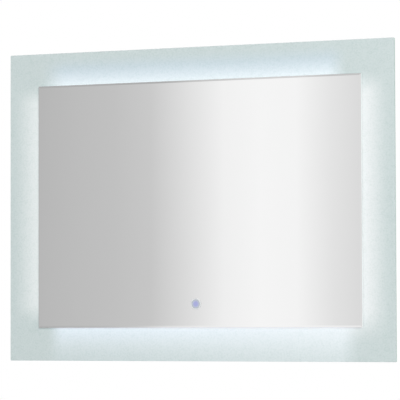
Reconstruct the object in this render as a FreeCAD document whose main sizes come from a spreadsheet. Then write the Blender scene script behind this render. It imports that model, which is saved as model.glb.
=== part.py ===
import FreeCAD, Part
import math
import os
import Sketcher

# Lighted bathroom mirror, 800 x 600 mm, hung on a wall rail.
#
# Frame of the part: X runs to the viewer's right, Z up, and Y into the wall. The wall is the plane
# Y = 0. The origin is the middle of the wall rail's screw line. Most sizes across the depth are
# written as a distance out from the wall, which is -Y.

DOC = FreeCAD.newDocument("LightedMirror")

# ---------------------------------------------------------------------------------------------
# Sizes
# ---------------------------------------------------------------------------------------------

# Driving dimensions in millimetres: name, value, what it measures.
SIZES = (
    # the two glasses
    ("glass_width", 800, "frosted panel, left to right"),
    ("glass_height", 600, "frosted panel, bottom to top"),
    ("glass_thick", 5, "frosted panel"),
    ("glass_corner", 2, "radius of the panel's corners"),
    ("glass_arris", 0.6, "ground edge round the panel's faces"),
    ("border", 64, "frosted border outside the mirror pane"),
    ("pane_thick", 4, "mirror pane"),
    ("bevel_width", 3.5, "bevel round the pane, across its face"),
    ("bevel_drop", 1.5, "depth of the bevel at the pane's edge"),
    ("pane_tape_thick", 1, "foam tape behind the pane"),
    ("pane_tape_width", 18, "foam tape behind the pane"),
    ("pane_tape_inset", 14, "from the pane's edge to the tape"),
    ("pane_tape_key_gap", 8, "between the lower tape and the touch switch"),
    # rear frame of aluminium profile
    ("wall_gap", 3, "from the wall to the frame"),
    ("frame_inset", 6, "the frame's outer face, inside the pane's edge"),
    ("profile_width", 22, "frame profile, across the glass"),
    ("profile_depth", 28, "frame profile, out from the wall"),
    ("profile_wall", 2, "wall of the frame profile"),
    ("groove_side", 0.2, "room at each side of the light strip in its groove"),
    ("groove_depth", 0.8, "groove for the light strip"),
    ("frame_tape_thick", 1, "foam tape between frame and panel"),
    ("frame_tape_width", 18, "foam tape between frame and panel"),
    ("tape_joint", 1, "gap where two foam tapes meet"),
    ("key_leg", 45, "each leg of a corner key"),
    ("key_play", 0.15, "room round a corner key in the profile"),
    ("key_screw_from_corner", 36, "corner key screw, from the frame's corner"),
    ("buffer_diameter", 16, "rubber wall buffer"),
    ("buffer_from_corner", 70, "wall buffer, from the frame's corner"),
    ("buffer_rim", 0.8, "chamfer round a wall buffer"),
    # light strips
    ("strip_width", 10, "light strip"),
    ("strip_thick", 0.5, "light strip with its adhesive"),
    ("strip_start", 14, "first end of a strip, from the frame's corner"),
    ("strip_end_room", 6, "least room left at a strip's other end"),
    ("chip_pitch", 13.9, "from one light-emitting chip to the next"),
    ("chips_per_segment", 3, "chips between two cutting marks"),
    ("chip_length", 3.5, "chip, along the strip"),
    ("chip_width", 2.8, "chip, across the strip"),
    ("chip_height", 0.8, "chip"),
    # wall rail and the hook that hangs on it
    ("rail_drop", 150, "rail's screw line, below the panel's upper edge"),
    ("rail_length", 500, "wall rail"),
    ("rail_sheet", 2, "thickness of rail and hook"),
    ("rail_below", 14, "rail's wall flange, below its screw line"),
    ("rail_step_height", 8, "top of the rail's step, above its screw line"),
    ("rail_pocket", 6, "room between the rail's lip and the wall"),
    ("rail_lip_height", 20, "top of the rail's lip, above its screw line"),
    ("rail_hole", 5.5, "screw hole in the wall rail"),
    ("rail_hole_spacing", 400, "between the two screw holes"),
    ("hook_seat", 0.2, "paint between hook and lip"),
    ("hook_front_gap", 2, "between the lip and the crossbar's face"),
    ("hook_back_gap", 1, "between the lip and the hook behind it"),
    ("hook_reach", 10, "how far the hook reaches down behind the lip"),
    ("crossbar_below", 14, "crossbar's face, below the screw line"),
    ("crossbar_end_gap", 0.3, "between the crossbar's tabs and the frame"),
    ("tab_depth", 15, "crossbar's end tabs, out from its face"),
    ("tab_height", 28, "crossbar's end tabs"),
    ("tab_screw_spacing", 16, "between the two screws of a tab"),
    # screws
    ("screw_thread", 3.9, "frame screw"),
    ("screw_length", 9, "frame screw under its head"),
    ("screw_head", 7.2, "frame screw"),
    ("screw_head_height", 2.2, "frame screw"),
    ("screw_play", 0.3, "hole for a screw, wider than the screw"),
    # touch switch
    ("key_rise", 45, "middle of the touch key, above the pane's lower edge"),
    ("flange_radius", 11, "front flange of the touch switch"),
    ("flange_thick", 1, "front flange of the touch switch"),
    ("flange_edge", 0.4, "chamfer round the flange's face"),
    ("lens_radius", 8.7, "touch key's lens"),
    ("lens_thick", 1.8, "touch key's lens"),
    ("lens_sink", 0.2, "lens below the flange's face"),
    ("lens_play", 0.1, "room round the lens"),
    ("sleeve_radius", 9.9, "switch sleeve, outside"),
    ("sleeve_bore", 7.8, "switch sleeve, inside radius"),
    ("sleeve_length", 17, "switch sleeve behind the flange"),
    ("sleeve_play", 0.4, "room round the sleeve in the glass"),
    ("nut_across_flats", 24, "switch nut"),
    ("nut_thick", 4, "switch nut"),
    ("nut_play", 0.1, "room between nut and sleeve"),
    ("gasket_radius", 11.6, "rubber gasket under the switch nut"),
    ("gasket_thick", 1, "rubber gasket under the switch nut"),
    ("sensor_thick", 1.6, "sensor board"),
    ("sensor_gap", 2, "from the lens back to the sensor board"),
    ("sensor_play", 0.2, "room round sensor board and cap nose"),
    ("cap_thick", 8, "rear cap of the switch"),
    ("lead_socket", 5, "depth of a lead's hole in the cap"),
    # driver
    ("driver_x", -100, "middle of the driver, from the middle of the glass"),
    ("driver_z", -20, "middle of the driver, from the middle of the glass"),
    ("driver_length", 150, "driver case"),
    ("driver_height", 46, "driver case"),
    ("driver_depth", 22, "driver case without its lid"),
    ("driver_wall", 2, "driver case and lid"),
    ("driver_corner", 4, "driver case, corner radius"),
    ("driver_tape_thick", 1, "foam tape under the driver"),
    ("driver_tape_edge", 6, "driver's edge outside its tape"),
    ("boss_radius", 4.2, "screw boss in the driver case"),
    ("boss_inset", 5.5, "screw boss, from the case's edge"),
    ("lid_screw_thread", 2.9, "driver screw"),
    ("lid_screw_length", 8, "driver screw under its head"),
    ("lid_screw_head", 5.4, "driver screw"),
    ("lid_screw_head_height", 1.8, "driver screw"),
    ("label_width", 70, "bare label recess in the lid"),
    ("label_height", 26, "bare label recess in the lid"),
    ("label_sink", 0.4, "bare label recess in the lid"),
    ("board_length", 120, "driver board"),
    ("board_height", 36, "driver board"),
    ("board_thick", 1.6, "driver board"),
    ("pillar_height", 3, "pillar under the driver board"),
    ("pillar_radius", 3, "pillar under the driver board"),
    ("pillar_x", 52, "pillar, from the middle of the driver"),
    # mains gland
    ("gland_thread", 12, "gland, outside its thread"),
    ("gland_bore", 6.5, "gland, clear bore for the mains cable"),
    ("gland_flats", 15, "gland, across its flats"),
    ("gland_flange", 4, "gland's hexagon"),
    ("gland_shank", 8, "gland's thread inside the case"),
    ("gland_nose", 10, "gland's thread outside the case"),
    ("gland_dome", 12, "length of the gland's dome nut"),
    ("gland_taper", 3.5, "tapered mouth of the dome nut"),
    ("gland_mouth_wall", 3, "wall of the dome nut at its mouth"),
    ("gland_locknut", 3, "locknut inside the case"),
    ("gland_play", 0.15, "room between a gland thread and its nut"),
    ("gland_hole_play", 0.4, "room round the gland's thread in the case"),
    # leads
    ("lead_diameter", 2.6, "two-core low-voltage lead"),
    ("lead_play", 0.4, "hole for a lead, wider than the lead"),
    ("lead_end_gap", 0.3, "lead's end, short of what it meets"),
    ("lead_lift", 2.4, "middle of a clipped lead, behind the panel"),
    ("supply_exit", 4, "straight run of the supply lead out of the driver"),
    ("supply_rise", 28, "straight run of the supply lead into the switch"),
    ("supply_ramp", 18, "height in which the supply lead leaves the panel"),
    ("feed_exit", 18, "straight run of the feed lead out of the switch"),
    ("feed_hang", 3.3, "feed lead's turn, below the frame's grommet"),
    ("clip_length", 8, "cable clip, along the lead"),
    ("clip_width", 12, "cable clip, across the lead"),
    ("clip_upper", 40, "upper clip, below the driver's middle"),
    ("clip_lower", 14, "lower clip, above the end of the supply lead's upright run"),
    ("jumper_diameter", 1.6, "lead from one light strip to the next"),
    ("jumper_lap", 4, "jumper's end, along the strip"),
    ("jumper_standoff", 0.9, "middle of a jumper's end, off the frame"),
    ("jumper_corner", 2.6, "jumper's corner point, off the frame"),
    ("jumper_bend", 5, "bend radius of a jumper"),
    ("grommet_flange", 1, "grommet's flange on each side"),
    ("grommet_rim", 1.4, "grommet's flange outside its hole, across"),
    ("grommet_wall", 1, "rubber between lead and hole"),
    ("feed_segment", 9, "cutting mark of the lower strip that the lead feeds"),
    ("feed_land", 4.8, "feed hole, from the frame's wall side"),
)

# Parts soldered to the driver board, as block parts and round parts. Each name's rows go on the
# same sheet: a block's length, height, rise off the board and middle, and the same for a round
# part with its diameter.
BLOCK_PARTS = (
    ("mains_terminal", 10, 18, 9, -41, 0),
    ("transformer", 22, 20, 12.5, -3, 0),
    ("heat_sink", 2, 24, 11, 14, 0),
    ("output_terminal", 8, 14, 9, 38, 0),
)
ROUND_PARTS = (
    ("filter_choke", 12, 10, -26, 8),
    ("mains_capacitor", 11, 12, -26, -8),
    ("output_capacitor", 10, 12, 24, 8),
    ("smoothing_capacitor", 8, 10, 24, -8),
)
BLOCK_WORDS = ("length", "height", "rise", "x", "z")
ROUND_WORDS = ("diameter", "rise", "x", "z")

# Worked-out places and lengths: name, formula on the driving dimensions.
PLACES = (
    ("out_frame_back", "Sizes.wall_gap"),
    ("out_frame_front", "Sizes.wall_gap + Sizes.profile_depth"),
    ("out_frame_middle", "Sizes.wall_gap + Sizes.profile_depth / 2"),
    ("out_panel_back", "Places.out_frame_front + Sizes.frame_tape_thick"),
    ("out_panel_front", "Places.out_panel_back + Sizes.glass_thick"),
    ("out_pane_back", "Places.out_panel_front + Sizes.pane_tape_thick"),
    ("out_pane_front", "Places.out_pane_back + Sizes.pane_thick"),
    ("glass_half_width", "Sizes.glass_width / 2"),
    ("glass_half_height", "Sizes.glass_height / 2"),
    ("glass_z", "Sizes.rail_drop - Places.glass_half_height"),
    ("pane_half_width", "Places.glass_half_width - Sizes.border"),
    ("pane_half_height", "Places.glass_half_height - Sizes.border"),
    ("frame_half_width", "Places.pane_half_width - Sizes.frame_inset"),
    ("frame_half_height", "Places.pane_half_height - Sizes.frame_inset"),
    ("groove_half", "Sizes.strip_width / 2 + Sizes.groove_side"),
    ("segment", "Sizes.chip_pitch * Sizes.chips_per_segment"),
    ("long_room", "2 * Places.frame_half_width - Sizes.strip_start - Sizes.strip_end_room"),
    ("short_room", "2 * Places.frame_half_height - Sizes.strip_start - Sizes.strip_end_room"),
    ("long_segments", "floor(Places.long_room / Places.segment)"),
    ("short_segments", "floor(Places.short_room / Places.segment)"),
    ("long_strip", "Places.long_segments * Places.segment"),
    ("short_strip", "Places.short_segments * Places.segment"),
    ("strip_left", "Sizes.strip_start - Places.frame_half_width"),
    ("strip_top", "Places.glass_z + Places.frame_half_height - Sizes.strip_start"),
    ("screw_hole", "(Sizes.screw_thread + Sizes.screw_play) / 2"),
    ("lip_out", "Sizes.rail_pocket + Sizes.rail_sheet"),
    ("crossbar_back", "Places.lip_out + Sizes.hook_front_gap"),
    ("crossbar_front", "Places.crossbar_back + Sizes.rail_sheet"),
    ("hook_back", "Sizes.rail_pocket - Sizes.hook_back_gap"),
    ("hook_under", "Sizes.rail_lip_height + Sizes.hook_seat"),
    ("hook_top", "Places.hook_under + Sizes.rail_sheet"),
    ("crossbar_half", "Places.frame_half_width - Sizes.profile_width - Sizes.crossbar_end_gap"),
    ("tab_z", "(Places.hook_top - Sizes.crossbar_below) / 2"),
    ("tab_out", "Places.crossbar_front + Sizes.tab_depth / 2"),
    ("key_z", "Places.glass_z - Places.pane_half_height + Sizes.key_rise"),
    ("flange_front", "Places.out_pane_front + Sizes.flange_thick"),
    ("lens_front", "Places.flange_front - Sizes.lens_sink"),
    ("lens_back", "Places.lens_front - Sizes.lens_thick"),
    ("sleeve_end", "Places.out_pane_front - Sizes.sleeve_length"),
    ("sensor_front", "Places.lens_back - Sizes.sensor_gap"),
    ("sensor_back", "Places.sensor_front - Sizes.sensor_thick"),
    ("cap_back", "Places.sleeve_end - Sizes.cap_thick"),
    ("cap_lead", "Places.sleeve_end - Sizes.cap_thick / 2"),
    ("glass_hole", "Sizes.sleeve_radius + Sizes.sleeve_play"),
    ("case_front", "Places.out_panel_back - Sizes.driver_tape_thick"),
    ("case_floor", "Places.case_front - Sizes.driver_wall"),
    ("case_rim", "Places.case_front - Sizes.driver_depth"),
    ("lid_back", "Places.case_rim - Sizes.driver_wall"),
    ("case_middle", "(Places.case_floor + Places.case_rim) / 2"),
    ("board_front", "Places.case_floor - Sizes.pillar_height"),
    ("board_back", "Places.board_front - Sizes.board_thick"),
    ("driver_mid_z", "Places.glass_z + Sizes.driver_z"),
    ("driver_left", "Sizes.driver_x - Sizes.driver_length / 2"),
    ("driver_right", "Sizes.driver_x + Sizes.driver_length / 2"),
    ("lead_out", "Places.out_panel_back - Sizes.lead_lift"),
    ("lead_hole", "(Sizes.lead_diameter + Sizes.lead_play) / 2"),
    ("grommet_hole", "Places.lead_hole + Sizes.grommet_wall"),
    ("grommet_rim", "Places.grommet_hole + Sizes.grommet_rim"),
    ("feed_x", "Places.strip_left + Sizes.feed_segment * Places.segment"),
    ("feed_out", "Sizes.wall_gap + Sizes.feed_land"),
    ("driver_screw_hole", "(Sizes.lid_screw_thread + Sizes.screw_play) / 2"),
    ("clip_out", "Places.lead_out - Places.lead_hole - Sizes.grommet_wall"),
    ("switch_top", "Places.key_z + Sizes.sleeve_radius"),
    ("ramp_foot", "Places.switch_top + Sizes.supply_rise"),
    ("ramp_head", "Places.ramp_foot + Sizes.supply_ramp"),
)

CUT_PAST = "1"  # how far a cutting sketch reaches past the material
BEND_SHARE = 0.45  # share of a lead's shorter run that a bend takes up
TINY = 1e-6  # lengths and slopes under this count as nothing
BOTH = ("-", "")  # signs of a mirrored pair


def part_rows(parts, words):
    """Sheet rows for the parts on the driver board."""
    return [("%s_%s" % (part[0], word), value, "%s on the driver board" % part[0])
            for part in parts for word, value in zip(words, part[1:])]


def make_sheet(name, rows, cell="%s"):
    """Fill a spreadsheet with one aliased cell per row, and what it measures beside it."""
    sheet = DOC.addObject("Spreadsheet::Sheet", name)
    for number, row in enumerate(rows, start=1):
        sheet.set("A%d" % number, row[-1])
        sheet.setAlias("B%d" % number, row[0])
        sheet.set("B%d" % number, cell % row[1])
    DOC.recompute()
    return sheet


SIZE_SHEET = make_sheet("Sizes", list(SIZES) + part_rows(BLOCK_PARTS, BLOCK_WORDS)
                        + part_rows(ROUND_PARTS, ROUND_WORDS))
PLACE_SHEET = make_sheet("Places", PLACES, cell="=%s")


def size(alias):
    """A driving dimension as a number."""
    return float(SIZE_SHEET.get(alias))


def place(alias):
    """A worked-out place or length as a number."""
    return float(PLACE_SHEET.get(alias))


# ---------------------------------------------------------------------------------------------
# Helpers
# ---------------------------------------------------------------------------------------------

PIECES = []


class Piece:
    """A body built from sketches whose sizes are formulas on the sheets."""

    def __init__(self, label):
        self.body = DOC.addObject("PartDesign::Body", label)
        self.body.Label = label
        PIECES.append(self.body)

    def origin(self, role):
        """One of the body's own origin planes or axes."""
        return next(item for item in self.body.Origin.OriginFeatures if item.Role == role)

    def sketch(self, role, offset="0"):
        """An empty sketch on an origin plane, moved along the plane's normal."""
        sketch = self.body.newObject("Sketcher::SketchObject", self.body.Name + "_outline")
        sketch.AttachmentSupport = [(self.origin(role), "")]
        sketch.MapMode = "FlatFace"
        sketch.setExpression("AttachmentOffset.Base.z", offset)
        return sketch

    def feature(self, kind, sketch, **formulas):
        """A feature on a sketch, with its numbers bound to formulas."""
        feature = self.body.newObject("PartDesign::" + kind, self.body.Name + "_" + kind)
        feature.Profile = sketch
        for name, formula in formulas.items():
            feature.setExpression(name, formula)
        return feature

    def pad(self, sketch, length, backwards=False, both_ways=False):
        """Add material over a sketch."""
        pad = self.feature("Pad", sketch, Length=length)
        pad.Reversed = backwards
        pad.Midplane = both_ways
        return pad

    def cut(self, sketch, length, backwards=False):
        """Remove material to a depth; backwards cuts along the sketch's normal."""
        pocket = self.feature("Pocket", sketch, Length=length)
        pocket.Reversed = backwards
        return pocket

    def cut_through(self, sketch):
        """Remove material on both sides of a sketch, all the way."""
        pocket = self.feature("Pocket", sketch)
        pocket.Type = "ThroughAll"
        pocket.Midplane = True
        return pocket

    def turn(self, sketch, axis):
        """Revolve a sketch about one of the body's own axes."""
        turned = self.feature("Revolution", sketch)
        turned.ReferenceAxis = (self.origin(axis), [""])
        turned.Angle = 360
        return turned

    def edge_names(self, wanted):
        """Names of the edges that a test picks."""
        DOC.recompute()
        edges = self.body.Shape.Edges
        return ["Edge%d" % number for number, edge in enumerate(edges, start=1) if wanted(edge)]

    def dress(self, kind, wanted, **formulas):
        """A Fillet or Chamfer on the edges that a test picks."""
        names = self.edge_names(wanted)
        base = self.body.Tip
        feature = self.body.newObject("PartDesign::" + kind, self.body.Name + "_" + kind)
        feature.Base = (base, names)
        for name, formula in formulas.items():
            feature.setExpression(name, formula)
        return feature

    def put(self, across="0", depth="0", up="0", turned=0):
        """Place the body, turned by an angle in degrees about the Y axis."""
        self.body.Placement.Rotation = FreeCAD.Rotation(FreeCAD.Vector(0, 1, 0), turned)
        for axis, formula in (("x", across), ("y", depth), ("z", up)):
            self.body.setExpression("Placement.Base." + axis, formula)


def pin_point(sketch, geometry, point, across, up):
    """Hold a point of a sketch at two formulas, measured from the sketch's origin."""
    for kind, formula in (("DistanceX", across), ("DistanceY", up)):
        number = sketch.addConstraint(Sketcher.Constraint(kind, -1, 1, geometry, point, 1.0))
        sketch.setExpression("Constraints[%d]" % number, formula)


def outline(sketch, corners):
    """A closed outline of straight lines through corners given as pairs of formulas."""
    first = sketch.GeometryCount
    count = len(corners)
    turn = 2 * math.pi / count
    start = [FreeCAD.Vector(math.cos(turn * k), math.sin(turn * k), 0) for k in range(count)]
    for k in range(count):
        sketch.addGeometry(Part.LineSegment(start[k], start[(k + 1) % count]))
    for k in range(count):
        following = first + (k + 1) % count
        sketch.addConstraint(Sketcher.Constraint("Coincident", first + k, 2, following, 1))
    for k, (across, up) in enumerate(corners):
        pin_point(sketch, first + k, 1, across, up)


def box_outline(sketch, left, right, bottom, top):
    """A rectangle between four formulas."""
    outline(sketch, ((left, bottom), (right, bottom), (right, top), (left, top)))


def ring(sketch, across, up, radius):
    """A circle with its centre and radius at formulas."""
    number = sketch.addGeometry(Part.Circle(FreeCAD.Vector(), FreeCAD.Vector(0, 0, 1), 1.0))
    pin_point(sketch, number, 3, across, up)
    constraint = sketch.addConstraint(Sketcher.Constraint("Radius", number, 1.0))
    sketch.setExpression("Constraints[%d]" % constraint, radius)


def hexagon(sketch, flats):
    """A hexagon about the sketch's origin, by its width across flats."""
    corners = []
    for k in range(6):
        reach = "(%s) / 2 / cos(30 deg)" % flats
        angle = "%d deg" % (60 * k)
        corners.append(("%s * cos(%s)" % (reach, angle), "%s * sin(%s)" % (reach, angle)))
    outline(sketch, corners)


def plate(label, left, right, bottom, top, wall_side, thick):
    """A flat rectangular piece, parallel to the wall, from its wall side outwards."""
    piece = Piece(label)
    sketch = piece.sketch("XZ_Plane", wall_side)
    box_outline(sketch, left, right, bottom, top)
    piece.pad(sketch, thick)
    return piece


def keep(label, solids):
    """A piece, or a group of separate like pieces, made from finished solids."""
    feature = DOC.addObject("Part::Feature", label)
    feature.Label = label
    feature.Shape = solids[0] if len(solids) == 1 else Part.makeCompound(solids)
    PIECES.append(feature)
    return feature


def cross_head_screw(thread, length, head, head_height):
    """A pan-head screw with a cross recess, pointing along -Y from its seat at the origin."""
    dome = 0.35 * head_height
    slot_wide = 0.16 * head
    slot_long = 0.6 * head
    slot_deep = 0.55 * head_height
    point = 0.4 * thread
    profile = (
        (0, head_height), (head / 2 - dome, head_height), (head / 2, head_height - dome),
        (head / 2, 0), (thread / 2, 0), (thread / 2, point - length),
        (thread / 2 - point / 2, -length), (0, -length),
    )
    corners = [FreeCAD.Vector(x, y, 0) for x, y in profile + profile[:1]]
    screw = Part.Face(Part.makePolygon(corners)).revolve(FreeCAD.Vector(), ALONG_Y, 360)
    for wide, tall in ((slot_wide, slot_long), (slot_long, slot_wide)):
        corner = FreeCAD.Vector(-wide / 2, head_height - slot_deep, -tall / 2)
        screw = screw.cut(Part.makeBox(wide, 2 * slot_deep, tall, corner))
    return screw


def placed(shape, position, turned=None):
    """A copy of a shape, turned and then moved."""
    copy = shape.copy()
    copy.Placement = FreeCAD.Placement(position, turned or FreeCAD.Rotation())
    return copy


def bend_radius(before, point, after):
    """The largest easy bend at a point of a lead."""
    into, away = point.sub(before), after.sub(point)
    half_turn = into.getAngle(away) / 2
    return BEND_SHARE * min(into.Length, away.Length) / math.tan(half_turn)


def lead(label, points, diameter, bend=None):
    """A lead along straight runs joined by tangent arcs."""
    points = [FreeCAD.Vector(*point) for point in points]
    edges = []
    radii = []
    start = points[0]
    for before, point, after in zip(points, points[1:], points[2:]):
        radius = bend or bend_radius(before, point, after)
        into = point.sub(before).normalize()
        away = after.sub(point).normalize()
        half_turn = into.getAngle(away) / 2
        back = radius * math.tan(half_turn)
        enter = point.sub(into * back)
        leave = point.add(away * back)
        inward = away.sub(into).normalize()
        middle = point.add(inward * (radius / math.cos(half_turn) - radius))
        edges.append(Part.LineSegment(start, enter).toShape())
        edges.append(Part.Arc(enter, middle, leave).toShape())
        radii.append(radius)
        start = leave
    edges.append(Part.LineSegment(start, points[-1]).toShape())
    path = Part.Wire(edges)
    first = points[1].sub(points[0])
    section = Part.Wire(Part.Circle(points[0], first, diameter / 2).toShape())
    tube = path.makePipeShell([section], True, True)
    expected = math.pi * diameter ** 2 / 4 * path.Length
    print("%s: %.0f mm long, bend radii %s mm, volume ratio %.4f" % (
        label, path.Length, ", ".join("%.1f" % radius for radius in radii),
        tube.Volume / expected))
    return keep(label, [tube])


def lies_along(edge, axis):
    """Whether an edge is a straight line along an axis."""
    if edge.Curve.TypeId != "Part::GeomLine":
        return False
    return abs(abs(edge.Curve.Direction.dot(axis)) - 1) < TINY


ALONG_Y = FreeCAD.Vector(0, 1, 0)
ALONG_Z = FreeCAD.Vector(0, 0, 1)

# ---------------------------------------------------------------------------------------------
# Wall rail and the crossbar that hooks on it
# ---------------------------------------------------------------------------------------------


def make_wall_rail():
    """Z-section rail: a flange on the wall, a step outwards and an upright lip."""
    rail = Piece("wall_rail")
    section = rail.sketch("YZ_Plane")
    outline(section, (
        ("0", "-Sizes.rail_below"),
        ("0", "Sizes.rail_step_height"),
        ("-Sizes.rail_pocket", "Sizes.rail_step_height"),
        ("-Sizes.rail_pocket", "Sizes.rail_lip_height"),
        ("-Places.lip_out", "Sizes.rail_lip_height"),
        ("-Places.lip_out", "Sizes.rail_step_height - Sizes.rail_sheet"),
        ("-Sizes.rail_sheet", "Sizes.rail_step_height - Sizes.rail_sheet"),
        ("-Sizes.rail_sheet", "-Sizes.rail_below"),
    ))
    rail.pad(section, "Sizes.rail_length", both_ways=True)
    holes = rail.sketch("XZ_Plane")
    for side in BOTH:
        ring(holes, side + "Sizes.rail_hole_spacing / 2", "0", "Sizes.rail_hole / 2")
    rail.cut(holes, "Sizes.rail_sheet", backwards=True)


def make_crossbar():
    """Crossbar of the rear frame, with its hook over the rail's lip and a tab at each end."""
    bar = Piece("hanging_crossbar")
    section = bar.sketch("YZ_Plane")
    outline(section, (
        ("-Places.crossbar_front", "-Sizes.crossbar_below"),
        ("-Places.crossbar_back", "-Sizes.crossbar_below"),
        ("-Places.crossbar_back", "Places.hook_under"),
        ("-Places.hook_back", "Places.hook_under"),
        ("-Places.hook_back", "Sizes.rail_lip_height - Sizes.hook_reach"),
        ("Sizes.rail_sheet - Places.hook_back", "Sizes.rail_lip_height - Sizes.hook_reach"),
        ("Sizes.rail_sheet - Places.hook_back", "Places.hook_top"),
        ("-Places.crossbar_front", "Places.hook_top"),
    ))
    bar.pad(section, "2 * Places.crossbar_half", both_ways=True)
    tabs = bar.sketch("XZ_Plane", "Places.crossbar_back")
    for side in BOTH:
        box_outline(
            tabs,
            side + "(Places.crossbar_half - Sizes.rail_sheet)", side + "Places.crossbar_half",
            "Places.tab_z - Sizes.tab_height / 2", "Places.tab_z + Sizes.tab_height / 2")
    bar.pad(tabs, "Sizes.rail_sheet + Sizes.tab_depth")
    holes = bar.sketch("YZ_Plane")
    for side in ("-", "+"):
        ring(holes, "-Places.tab_out",
             "Places.tab_z %s Sizes.tab_screw_spacing / 2" % side, "Places.screw_hole")
    bar.cut_through(holes)


# ---------------------------------------------------------------------------------------------
# Glasses
# ---------------------------------------------------------------------------------------------


def make_frosted_panel():
    """Frosted glass panel with its polished edge and the hole for the touch switch."""
    panel = plate(
        "frosted_glass_panel", "-Places.glass_half_width", "Places.glass_half_width",
        "Places.glass_z - Places.glass_half_height", "Places.glass_z + Places.glass_half_height",
        "Places.out_panel_back", "Sizes.glass_thick")
    panel.dress("Fillet", lambda edge: lies_along(edge, ALONG_Y), Radius="Sizes.glass_corner")
    panel.dress("Chamfer", lambda edge: not lies_along(edge, ALONG_Y), Size="Sizes.glass_arris")
    hole = panel.sketch("XZ_Plane", "Places.out_panel_back")
    ring(hole, "0", "Places.key_z", "Places.glass_hole")
    panel.cut_through(hole)


def make_mirror_pane():
    """Silvered pane with a narrow bevel all round."""
    left, right = "-Places.pane_half_width", "Places.pane_half_width"
    bottom = "Places.glass_z - Places.pane_half_height"
    top = "Places.glass_z + Places.pane_half_height"
    pane = plate("mirror_pane", left, right, bottom, top,
                 "Places.out_pane_back", "Sizes.pane_thick - Sizes.bevel_drop")
    foot = pane.sketch("XZ_Plane", "Places.out_pane_front - Sizes.bevel_drop")
    box_outline(foot, left, right, bottom, top)
    face = pane.sketch("XZ_Plane", "Places.out_pane_front")
    box_outline(face, left + " + Sizes.bevel_width", right + " - Sizes.bevel_width",
                bottom + " + Sizes.bevel_width", top + " - Sizes.bevel_width")
    bevel = pane.feature("AdditiveLoft", foot)
    bevel.Sections = [face]
    bevel.Ruled = True
    hole = pane.sketch("XZ_Plane", "Places.out_pane_back")
    ring(hole, "0", "Places.key_z", "Places.glass_hole")
    pane.cut_through(hole)


def tape_strips(label, wide, tall, tape, wall_side, thick, gap=None):
    """Foam tape round a rectangle, one strip to a side; a gap parts the lower strip."""
    piece = Piece(label)
    sketch = piece.sketch("XZ_Plane", wall_side)
    left, right = "-(%s)" % wide, wide
    bottom, top = "Places.glass_z - (%s)" % tall, "Places.glass_z + %s" % tall
    bottom_in, top_in = "%s + %s" % (bottom, tape), "%s - %s" % (top, tape)
    side_foot, side_head = bottom_in + " + Sizes.tape_joint", top_in + " - Sizes.tape_joint"
    box_outline(sketch, left, right, top_in, top)
    if gap:
        box_outline(sketch, left, "-(%s)" % gap, bottom, bottom_in)
        box_outline(sketch, gap, right, bottom, bottom_in)
    else:
        box_outline(sketch, left, right, bottom, bottom_in)
    box_outline(sketch, left, "%s + %s" % (left, tape), side_foot, side_head)
    box_outline(sketch, "%s - %s" % (right, tape), right, side_foot, side_head)
    piece.pad(sketch, thick)


def make_pane_tape():
    """Foam tape that bonds the mirror pane to the frosted panel, parted at the touch switch."""
    tape_strips("pane_tape", "Places.pane_half_width - Sizes.pane_tape_inset",
                "Places.pane_half_height - Sizes.pane_tape_inset", "Sizes.pane_tape_width",
                "Places.out_panel_front", "Sizes.pane_tape_thick",
                gap="Places.glass_hole + Sizes.pane_tape_key_gap")


# ---------------------------------------------------------------------------------------------
# Rear frame
# ---------------------------------------------------------------------------------------------

# Each side of the frame: name, half its length, distance of its outer face from the middle of
# the glass, and its turn about the Y axis. In its own axes a side lies along X, facing +Z.
FRAME_SIDES = (
    ("top", "Places.frame_half_width", "Places.frame_half_height", 0),
    ("right", "Places.frame_half_height", "Places.frame_half_width", 90),
    ("bottom", "Places.frame_half_width", "Places.frame_half_height", 180),
    ("left", "Places.frame_half_height", "Places.frame_half_width", 270),
)

# The two screws of a corner key, in the corner where X and Z are positive.
KEY_SCREWS = (
    ("(Places.frame_half_width - Sizes.key_screw_from_corner)",
     "(Places.frame_half_height - Sizes.profile_width / 2)"),
    ("(Places.frame_half_width - Sizes.profile_width / 2)",
     "(Places.frame_half_height - Sizes.key_screw_from_corner)"),
)


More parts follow.
